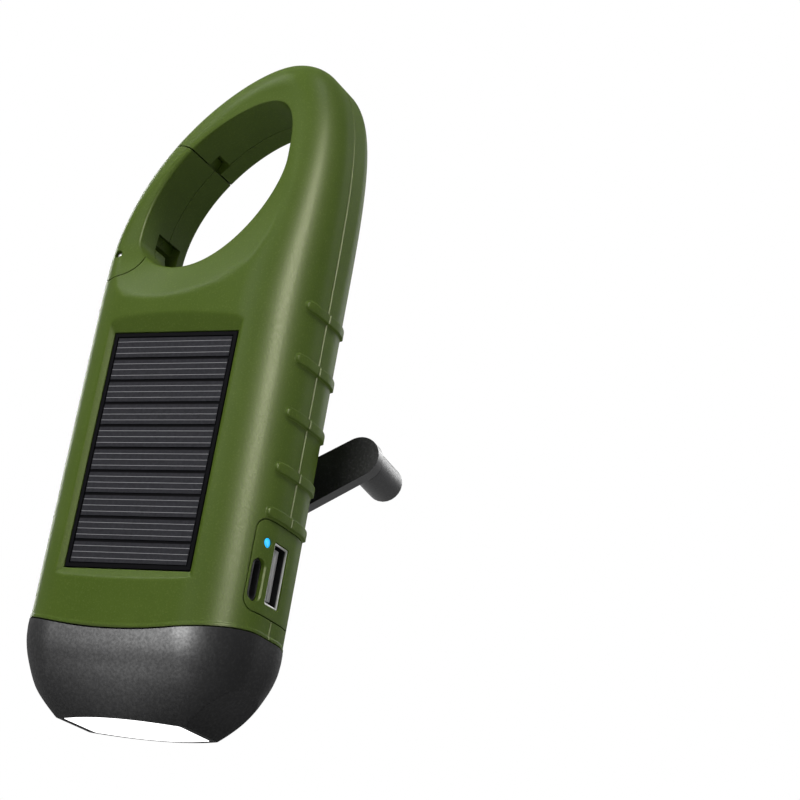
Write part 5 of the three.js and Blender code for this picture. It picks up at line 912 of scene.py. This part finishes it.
def port_window():
    """The panel's stepped seat in the side, and the way through inside it."""
    low, high = PORT_Z - 20, PORT_Z + 20
    seat = prism("seat", port_outline(FIT_GAP), 0, HALF_WIDTH / 2, HALF_WIDTH + 1)
    cut(seat, section_prism(PORT_SEAT, low, high))
    return fuse(seat, prism("through", port_outline(-1), 0, HALF_WIDTH / 2, HALF_WIDTH + 0.9))


def panel_seat():
    """The solar panel's seat, sunk in the front face."""
    half, low, high = PANEL_HALF + PANEL_GAP, PANEL_LOW - PANEL_GAP, PANEL_HIGH + PANEL_GAP
    outline = [(-half, low), (half, low), (half, high), (-half, high)]
    return prism("panel_seat", outline, 1, -DEEP, -PANEL_FACE + PANEL_SEAT)


def drilled(x, z, radius, low, high, sides=32):
    """A round bore along Y."""
    return prism("drill", disc(x, z, radius, sides), 1, low, high)


back_form = twin(form, "back_housing")
front_half = keep(form, block("front_space", BODY_X, (-BODY_DEEP, -SEAM_HALF), BODY_Z))
front_half.name = "front_housing"
cut(front_half, cavity(), panel_seat(), port_window(), button_window())
finished(front_half, "housing", OLIVE, ["front_shell"])

back_half = keep(back_form, block("back_space", BODY_X, (SEAM_HALF, BODY_DEEP), BODY_Z))
cut(back_half, cavity())
bearing = prism("bearing_boss", disc(0, HUB_Z, BEARING["radius"], 48), 1, BEARING["low"], BEARING["high"])
fuse(back_half, bearing, knob_pocket(POCKET_WALL))
cut(back_half, port_window(), button_window(), knob_pocket(), drilled(0, HUB_Z, HUB_BORE, 10, DEEP, 64))
for screw_x, screw_z, seat in SCREWS:
    cut(back_half, drilled(screw_x, screw_z, SCREW_HEAD, seat, DEEP),
        drilled(screw_x, screw_z, SCREW_SHANK, 0, DEEP))
finished(back_half, "housing", OLIVE, ["back_shell"])


# Solar panel. Ten strips of dark cells lie in a black laminated tray, each printed with three fine
# silver fingers, under a clear film that dulls their shine.
PANEL_BORDER = 1.1
CELL_COUNT = 10
CELL_GAP = 0.7
CELL_LAYER = (0.02, 0.24)
FINGER_LAYER = (0.005, 0.03)
FINGER_WIDTH = 0.11
FINGERS = (0.2, 0.5, 0.8)


def coated(name, deep, light, scale, rough, coat):
    """A smooth finish under a clear coat, with a cloudy tone of the given scale."""
    material, wire = new_material(name)
    cloud = noise(wire, scale, 3.0)
    shade(wire, {"Base Color": blend(wire, cloud, deep, light), "Roughness": carry(wire, cloud, 0, 1, *rough),
                 "Coat Weight": coat, "Coat Roughness": 0.12, "Specular IOR Level": 0.05})
    return material


PANEL_BLACK = coated("panel_laminate", (0.002, 0.002, 0.003), (0.003, 0.003, 0.004), 300.0, (0.30, 0.40), 0.0)
CELL_GREY = coated("cell_silicon", (0.018, 0.018, 0.021), (0.042, 0.042, 0.049), 1400.0, (0.35, 0.5), 0.02)
SILVER = coated("printed_silver", (0.26, 0.26, 0.27), (0.34, 0.34, 0.36), 900.0, (0.4, 0.5), 0.0)


def slabs(name, boxes):
    """Many plain plates in one mesh, each closed: rows of (x0, x1, y0, y1, z0, z1)."""
    b = np.asarray(boxes, float)
    pick = np.array([[0, 2, 4], [1, 2, 4], [1, 3, 4], [0, 3, 4], [0, 2, 5], [1, 2, 5], [1, 3, 5], [0, 3, 5]])
    points = b[:, pick].reshape(-1, 3)
    quads = np.array([[0, 3, 2, 1], [4, 5, 6, 7], [0, 1, 5, 4], [1, 2, 6, 5], [2, 3, 7, 6], [3, 0, 4, 7]])
    faces = (quads[None] + 8 * np.arange(len(b))[:, None, None]).reshape(-1, 4)
    return mesh_piece(name, points, faces)


def panel_strips():
    """The cells and their fingers: strips between black gaps, and lines at fixed shares of each."""
    reach = PANEL_HALF - PANEL_BORDER
    low = PANEL_LOW + PANEL_BORDER
    length = PANEL_HIGH - PANEL_LOW - PANEL_BORDER * 2
    pitch = (length + CELL_GAP) / CELL_COUNT
    face = -PANEL_FACE
    cells = []
    lines = []
    for k in range(CELL_COUNT):
        z0, z1 = low + k * pitch, low + (k + 1) * pitch - CELL_GAP
        cells.append((-reach, reach, face + CELL_LAYER[0], face + CELL_LAYER[1], z0, z1))
        for share in FINGERS:
            z = mix(z0, z1, share)
            lines.append((-reach, reach, face + FINGER_LAYER[0], face + FINGER_LAYER[1],
                          z - FINGER_WIDTH / 2, z + FINGER_WIDTH / 2))
    return slabs("cell_strips", cells), slabs("cell_fingers", lines)


strips, fingers = panel_strips()
finished(strips, "housing", CELL_GREY, ["solar_cells"])
finished(fingers, "housing", SILVER, [])
frame["nodes"]["solar_panel"].data.materials.clear()
frame["nodes"]["solar_panel"].data.materials.append(PANEL_BLACK)


# Sockets. The port panel carries a wide plated socket with a pale tongue, a small oval charging
# socket in a shallow relief, and the lit window of the pilot lamp. All but the panel keep their CAD
# shapes, with smooth curved faces.
WIDE_SOCKET = {"y": -0.95, "z": 33.55, "height": 13.1, "thick": 5.7}
OVAL_SOCKET = {"y": -7.4, "z": 31.0, "height": 8.9, "thick": 3.1}
SOCKET_GAP = 0.1
RELIEF = ((-0.15, 0.1), (0.4, 0.65), (1.0, 1.25))
RELIEF_SUNK = 0.35
SOCKET_BORE = (10, 29)
PLATE_WALL = 1.2
PILOT_AT = (-6.2, 39.2)
PILOT_BORE = 1.1


def metal(name, colour, rough=0.32, scale=900.0, deep=None, mouth=0.0):
    """Plated or drawn metal with fine tool marks in its roughness. A socket's metal turns to the deep
    tone further in than the X of its mouth, as painted shade inside the socket."""
    material, wire = new_material(name)
    marks = noise(wire, scale)
    tone = blend(wire, marks, [c * 0.9 for c in colour], colour)
    # Painted shade: the socket's inside is darkened to the deep tone past its mouth.
    if deep:
        place = wire.add("ShaderNodeTexCoord").outputs["Object"]
        along = wire.add("ShaderNodeSeparateXYZ", {0: place}).outputs["X"]
        tone = blend(wire, carry(wire, along, (mouth + 0.1) * MM, (mouth - 0.15) * MM), tone, deep)
    shade(wire, {"Base Color": tone, "Roughness": carry(wire, marks, 0, 1, rough * 0.75, rough * 1.3),
                 "Metallic": 1.0})
    return material


def glowing(name, colour, strength, rough=0.25):
    """A lit translucent moulding: its own colour, and an even glow."""
    material, wire = new_material(name)
    tone = blend(wire, noise(wire, 120.0), [c * 0.94 for c in colour], colour)
    shade(wire, {"Base Color": tone, "Roughness": rough, "Emission Color": tone,
                 "Emission Strength": strength})
    return material


# The deep tone here is painted shade inside the socket, not a colour of the steel.
SOCKET_STEEL = metal("socket_steel", (0.80, 0.80, 0.78), 0.5, deep=(0.04, 0.04, 0.04), mouth=HALF_WIDTH - 0.6)
BLACK = moulded("black_moulding", (0.008, 0.008, 0.009), (0.011, 0.011, 0.012), (0.03, 0.03, 0.032),
                size=2600.0, depth=0.2, edge=0.0001)
PALE = moulded("pale_insert", (0.42, 0.42, 0.42), (0.5, 0.5, 0.5), (0.6, 0.6, 0.6),
               size=2600.0, depth=0.1, edge=0.0001)
PILOT = glowing("pilot_blue", (0.02, 0.42, 0.85), 1.1)


def socket_outline(socket, corner):
    """A socket's outside with the gap round it."""
    return round_outline(socket["y"], socket["z"], socket["thick"] + SOCKET_GAP * 2,
                         socket["height"] + SOCKET_GAP * 2, corner)


def oval_relief():
    """A shallow funnel round the oval socket."""
    rows = []
    for out, grow in RELIEF:
        thick = OVAL_SOCKET["thick"] + grow * 2
        outline = round_outline(OVAL_SOCKET["y"], OVAL_SOCKET["z"], thick, OVAL_SOCKET["height"] + grow * 2,
                                thick / 2)
        rows.append(np.insert(outline, 0, HALF_WIDTH + out - RELIEF_SUNK, axis=1))
    return loft("relief", rows)


def port_plate():
    """The port panel: a skin of the body's own section with the openings in it."""
    plate = prism("port_plate", port_outline(0), 0, HALF_WIDTH / 2, HALF_WIDTH + 1)
    keep(plate, section_prism(0, PORT_Z - 20, PORT_Z + 20))
    cut(plate, section_prism(PLATE_WALL, PORT_Z - 21, PORT_Z + 21), oval_relief(),
        prism("wide_bore", socket_outline(WIDE_SOCKET, 0.5), 0, *SOCKET_BORE),
        prism("oval_bore", socket_outline(OVAL_SOCKET, OVAL_SOCKET["thick"] / 2 + 0.1), 0, *SOCKET_BORE),
        prism("pilot_bore", disc(*PILOT_AT, PILOT_BORE, 32), 0, *SOCKET_BORE))
    return plate


def smoothed(node, material, sharp=34, edge=0.0, segments=2):
    """A welded copy of a CAD node that stands for it, smooth on its curved faces. Where an edge is
    given, its edges take that radius."""
    source = frame["nodes"][node]
    mesh = source.data.copy()
    piece = bpy.data.objects.new(node + "_piece", mesh)
    scene.collection.objects.link(piece)
    work = bmesh.new()
    work.from_mesh(mesh)
    bmesh.ops.remove_doubles(work, verts=work.verts, dist=2e-6)
    if edge:
        bmesh.ops.dissolve_limit(work, angle_limit=math.radians(1.5), verts=work.verts, edges=work.edges)
    work.to_mesh(mesh)
    work.free()
    mesh.shade_smooth()
    mesh.set_sharp_from_angle(angle=math.radians(sharp))
    mesh.materials.clear()
    mesh.materials.append(material)
    if edge:
        bevel = piece.modifiers.new("edge", "BEVEL")
        bevel.width = edge * MM
        bevel.segments = segments
        bevel.limit_method = "ANGLE"
        bevel.angle_limit = math.radians(40)
    even_normals(piece)
    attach(piece, source["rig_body"])
    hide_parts(node)
    return piece


finished(port_plate(), "housing", OLIVE, ["port_panel"])
smoothed("usb_a_shell", SOCKET_STEEL)
smoothed("usb_a_tongue", PALE)
smoothed("charge_socket_shell", BLACK)
smoothed("charge_socket_tongue", BLACK)
smoothed("pilot_light", PILOT)


# Lamp head. A charcoal cap narrows from the body's section to a flat bowed end, with a flat on each
# side of it, and holds the lens; behind the lens are a metallised reflector and three lamps.
HEAD_GREY = moulded("charcoal_plastic", (0.005, 0.005, 0.0055), (0.006, 0.006, 0.0065), (0.02, 0.02, 0.021),
                    size=1700.0, depth=0.2, rough=(0.5, 0.6), specular=0.0, skin=0.34, satin=0.50)
HEAD_PROUD = 0.15
HEAD_TOP = HEAD_SEAM + 1
# Stations of the head: the share of its height, then the shares of width, depth, corner and crown.
STATIONS = np.array([
    (0.0, 0.722, 0.285, 0.36, 4.83), (0.083, 0.77, 0.384, 0.45, 4.33), (0.222, 0.838, 0.536, 0.58, 3.5),
    (0.389, 0.898, 0.69, 0.71, 2.6), (0.556, 0.942, 0.811, 0.82, 1.9), (0.722, 0.976, 0.91, 0.91, 1.42),
    (0.861, 0.993, 0.966, 0.96, 1.12), (1.0, 1.0, 1.0, 1.0, 1.0)])
FACET_FOOT = (16.2, 0.3)
FACET_SLOPE = 0.95
LENS = {"half": 14.2, "end": 6.6, "bulge": 3.1, "corner": 1.2, "low": 0.02, "high": 3.3}
FLANGE = {"grow": 0.8, "low": 2.3}
WELL = {"grow": 1.1, "low": 2, "high": 13}
MOUTH = {"grow": 0.15, "low": -1, "high": 3}
SPIGOT = {"low": 12, "high": 21.5, "inside": 1.8}
CHAMBER = {"width": 41.6, "depth": 23.4, "corner": 6, "low": 12, "high": 22}
BOSS_RADIUS = 2.7


def smooth_stations(levels):
    """Station values at any level, on a cubic through each station with the slope of its neighbours."""
    at, values = STATIONS[:, 0], STATIONS[:, 1:]
    slope = np.gradient(values, at, axis=0)
    i = np.clip(np.searchsorted(at, levels, side="right") - 1, 0, len(at) - 2)
    span = (at[i + 1] - at[i])[:, None]
    s = ((levels - at[i])[:, None]) / span
    return ((1 + 2 * s) * (1 - s) ** 2 * values[i] + s * (1 - s) ** 2 * span * slope[i]
            + s * s * (3 - 2 * s) * values[i + 1] + s * s * (s - 1) * span * slope[i + 1])


def head_form():
    """The head's outer form: crowned sections whose width, depth, corner and crown are the body's own
    times the shares of the stations, carried straight on above the seam."""
    levels = np.concatenate([np.linspace(0, 0.1, 8)[:-1], np.linspace(0.1, 1, 40)])
    wide, deep, round_, crown = smooth_stations(levels).T
    half = (HALF_WIDTH + HEAD_PROUD) * wide
    z = HEAD_TOP * levels
    top = HEAD_SEAM + SEAM_RISE + 1.5
    half, z = np.append(half, half[-1]), np.append(z, top)
    deep, round_, crown = (np.append(v, v[-1]) for v in (deep, round_, crown))
    one = np.ones_like(half)
    right, left = (half, z, -one, 0 * one), (-half, z, one, 0 * one)
    flats = np.array([0.0, 1.2, 2.5])
    angles = np.radians(np.linspace(0, 90, 25))
    across = np.linspace(0, 1, 30)[1:-1]
    halves = []
    for depth, corner, sign in ((BACK_DEPTH, BACK_CORNER, 1), (FRONT_DEPTH, FRONT_CORNER, -1)):
        depth = (depth + HEAD_PROUD) * deep
        corner = np.minimum(depth - 0.01, corner * round_)
        halves.append(half_surface(right, left, depth, corner, CROWN * crown, sign, flats, angles, across))
    loops = np.concatenate([halves[0], halves[1][:, ::-1][:, 1:-1]], 1)
    return loft("lamp_head", loops)


def facet_cutter(side):
    """The block whose sloping face makes one of the head's flats."""
    x, z = FACET_FOOT
    reach = 50
    foot = z - FACET_SLOPE
    points = [(side * (x - 1), foot), (side * reach, foot), (side * reach, z + (reach - x) * FACET_SLOPE)]
    return prism("facet", points, 1, -DEEP, DEEP)


def below_seam(gap):
    """The block under the curved seam between the head and the body."""
    radius = (HALF_WIDTH**2 + SEAM_RISE**2) / (SEAM_RISE * 2)
    x = np.linspace(-28, 28, 57)
    z = HEAD_SEAM + gap + radius - np.sqrt(radius * radius - x * x)
    points = np.concatenate([np.stack([x, z], -1), [(28, -1), (-28, -1)]])
    return prism("below_seam", points, 1, -DEEP, DEEP)


def barrel(grow, steps=24):
    """The lens's outline: straight ends, bowed long sides and small corners."""
    x, y, c = LENS["half"] + grow, LENS["end"] + grow, LENS["corner"]
    t = np.linspace(0, 1, steps)[:, None]

    def arc(a, b, d):
        """A quadratic Bezier curve from a towards b to d, less its last point."""
        a, b, d = (np.array(p, float) for p in (a, b, d))
        return ((1 - t) ** 2 * a + 2 * t * (1 - t) * b + t * t * d)[:-1]

    bow = y + LENS["bulge"] * 2
    return np.concatenate([
        arc((c - x, -y), (0, -bow), (x - c, -y)), arc((x - c, -y), (x, -y), (x, c - y)),
        arc((x, c - y), (x, 0), (x, y - c)), arc((x, y - c), (x, y), (x - c, y)),
        arc((x - c, y), (0, bow), (c - x, y)), arc((c - x, y), (-x, y), (-x, y - c)),
        arc((-x, y - c), (-x, 0), (-x, c - y)), arc((-x, c - y), (-x, -y), (c - x, -y))])


def spigot(gap):
    """The outline of the head's collar inside the shells, drawn in by a gap."""
    side, front, back, _, corner = CAVITY
    return round_outline(0, (back - front) / 2, (side - gap) * 2, front + back - gap * 2, corner - gap, 10)


def lamp_head():
    """The head's form with its flats and its collar, less the lens's well and mouth, the hollow behind
    them, and the room for the two lower screws' bosses."""
    head = cut(head_form(), facet_cutter(1), facet_cutter(-1))
    keep(head, below_seam(-FIT_GAP))
    fuse(head, prism("spigot", spigot(FIT_GAP), 2, SPIGOT["low"], SPIGOT["high"]))
    well = prism("well", barrel(WELL["grow"]), 2, WELL["low"], WELL["high"])
    mouth = prism("mouth", barrel(MOUTH["grow"]), 2, MOUTH["low"], MOUTH["high"])
    bosses = [drilled(x, z, BOSS_RADIUS, -DEEP, DEEP) for x, z, _ in SCREWS[:2]]
    chamber = round_outline(0, 0, CHAMBER["width"], CHAMBER["depth"], CHAMBER["corner"])
    return cut(head, prism("hollow", spigot(SPIGOT["inside"]), 2, 15, 22.5),
               prism("chamber", chamber, 2, CHAMBER["low"], CHAMBER["high"]), well, mouth, *bosses)


finished(lamp_head(), "housing", HEAD_GREY, ["head_shell"], sharp=38)
LENS_LIT = glowing("lens_lit", (1.0, 1.0, 1.0), 1.0, 0.15)
lens_face = prism("lens_face", barrel(0), 2, LENS["low"], LENS["high"])
fuse(lens_face, prism("flange", barrel(FLANGE["grow"]), 2, FLANGE["low"], LENS["high"]))
finished(lens_face, "housing", LENS_LIT, ["lens"])


# Crank. A black disc turns on the back, an arm folds in its two lugs, and a dark grey knob spins on
# the arm's peg. All are plainly moulded, and keep their CAD shapes with a small radius on the edges.
CRANK_BLACK = moulded("crank_plastic", (0.007, 0.007, 0.008), (0.010, 0.010, 0.011), (0.035, 0.035, 0.037),
                      size=2100.0, depth=0.22, edge=0.00005, rough=(0.30, 0.42), specular=0.35)
KNOB_GREY = moulded("knob_plastic", (0.018, 0.018, 0.019), (0.024, 0.024, 0.025), (0.06, 0.06, 0.062),
                    size=1900.0, depth=0.3, edge=0.00005, rough=(0.34, 0.46), specular=0.2)
smoothed("crank_hub", CRANK_BLACK, edge=0.25)
smoothed("crank_arm", CRANK_BLACK, edge=0.3, segments=3)
smoothed("crank_knob", KNOB_GREY, edge=0.3, segments=3)


# Switch. A soft rubber button stands out of the left side, over a click switch on its own small
# board. It keeps its CAD shape.
RUBBER = moulded("button_rubber", (0.010, 0.011, 0.009), (0.014, 0.015, 0.012), (0.04, 0.042, 0.036),
                 size=1500.0, depth=0.3, rough=(0.6, 0.75), specular=0.3)
smoothed("switch_button", RUBBER)


# Inner pieces and fasteners. They are hidden by the shells, or show only as a screw head or a gear's
# edge through a gap. All but the gate's pin keep their CAD shapes, with smooth curved faces.
BOARD_GREEN = coated("board_lacquer", (0.010, 0.060, 0.022), (0.016, 0.085, 0.030), 400.0, (0.3, 0.45), 0.3)
CELL_SLEEVE = coated("cell_sleeve", (0.020, 0.085, 0.26), (0.028, 0.105, 0.30), 80.0, (0.22, 0.3), 0.3)
GEAR_WHITE = moulded("gear_acetal", (0.55, 0.53, 0.46), (0.62, 0.60, 0.53), (0.7, 0.68, 0.6),
                     size=1800.0, depth=0.1, edge=0.0001)
STEEL = metal("plated_steel", (0.60, 0.60, 0.61))
BRASS = metal("turned_brass", (0.72, 0.50, 0.20), 0.28)
MAGNET = metal("sintered_magnet", (0.10, 0.10, 0.11), 0.5)
COPPER = metal("enamelled_copper", (0.55, 0.24, 0.10), 0.3, 1500.0)
MIRROR = metal("metallised_reflector", (0.86, 0.87, 0.88), 0.08)
CLEAR_LAMP = glowing("lamp_dome", (1.0, 0.98, 0.92), 0.6)
PIN = {"radius": 0.85, "head": -13.1, "foot": 6.6, "dome": 0.7}


def turned(name, profile, x, z, sides=40):
    """A turned piece on an axis along Y through (x, z): rows of (radius, y)."""
    return loft(name, [np.insert(disc(x, z, radius, sides), 1, y, axis=1) for radius, y in profile])


def domed_pin():
    """The hinge pin: a plain rod whose front end is a dome, with a quarter ellipse for its profile."""
    dome = [(PIN["radius"] * math.sin(turn), PIN["head"] + PIN["dome"] * (1 - math.cos(turn)))
            for turn in np.linspace(0.08, math.pi / 2, 8)]
    return turned("hinge_pin", [*dome, (PIN["radius"], PIN["foot"])], *PIVOT)


finished(domed_pin(), "housing", STEEL, ["gate_pin"])
INNER = {
    "steel": (STEEL, ["cell_contact_bottom", "cell_contact_top", "gate_spring", "idler_axle_1",
                      "idler_axle_2", "generator_case", "crank_shaft", "hub_screw", "arm_hinge_pin",
                      "knob_screw", *[f"case_screw_{k}" for k in range(1, 6)], "plate_screw_1",
                      "plate_screw_2"]),
    "black_plastic": (BLACK, ["gear_plate", "tact_switch"]),
    "gear_plastic": (GEAR_WHITE, ["crank_gear", "idler_gear_1", "idler_gear_2"]),
    "brass": (BRASS, ["shaft_bush", "rotor_pinion"]),
    "circuit_board": (BOARD_GREEN, ["main_board", "lamp_board", "switch_board"]),
    "cell_wrap": (CELL_SLEEVE, ["rechargeable_cell"]),
    "magnet": (MAGNET, ["magnet_rotor"]),
    "copper": (COPPER, ["generator_winding"]),
    "reflector": (MIRROR, ["reflector"]),
    "lamp_lens": (CLEAR_LAMP, ["lamp_diode_1", "lamp_diode_2", "lamp_diode_3"]),
}
for slot_name, (finish, names) in INNER.items():
    for node_name in names:
        smoothed(node_name, finish)


# Highlight lamps. Each lights only the pieces that it is meant for, as with cards in a studio: the
# strip draws the line along the body's corner, the rim lamp the edge opposite, and the low lamp the
# sheen on the lamp head.
LIT_PIECES = {
    "right_strip": ("front_housing", "back_housing", "gate_front_half", "gate_back_half", "port_plate"),
    "left_rim": ("front_housing", "back_housing", "gate_front_half", "gate_back_half"),
    "head_low": ("lamp_head",),
}
for lamp_name, piece_names in LIT_PIECES.items():
    lit = bpy.data.collections.new(lamp_name + "_lights")
    for piece_name in piece_names:
        lit.objects.link(bpy.data.objects[piece_name])
    bpy.data.objects[lamp_name].light_linking.receiver_collection = lit
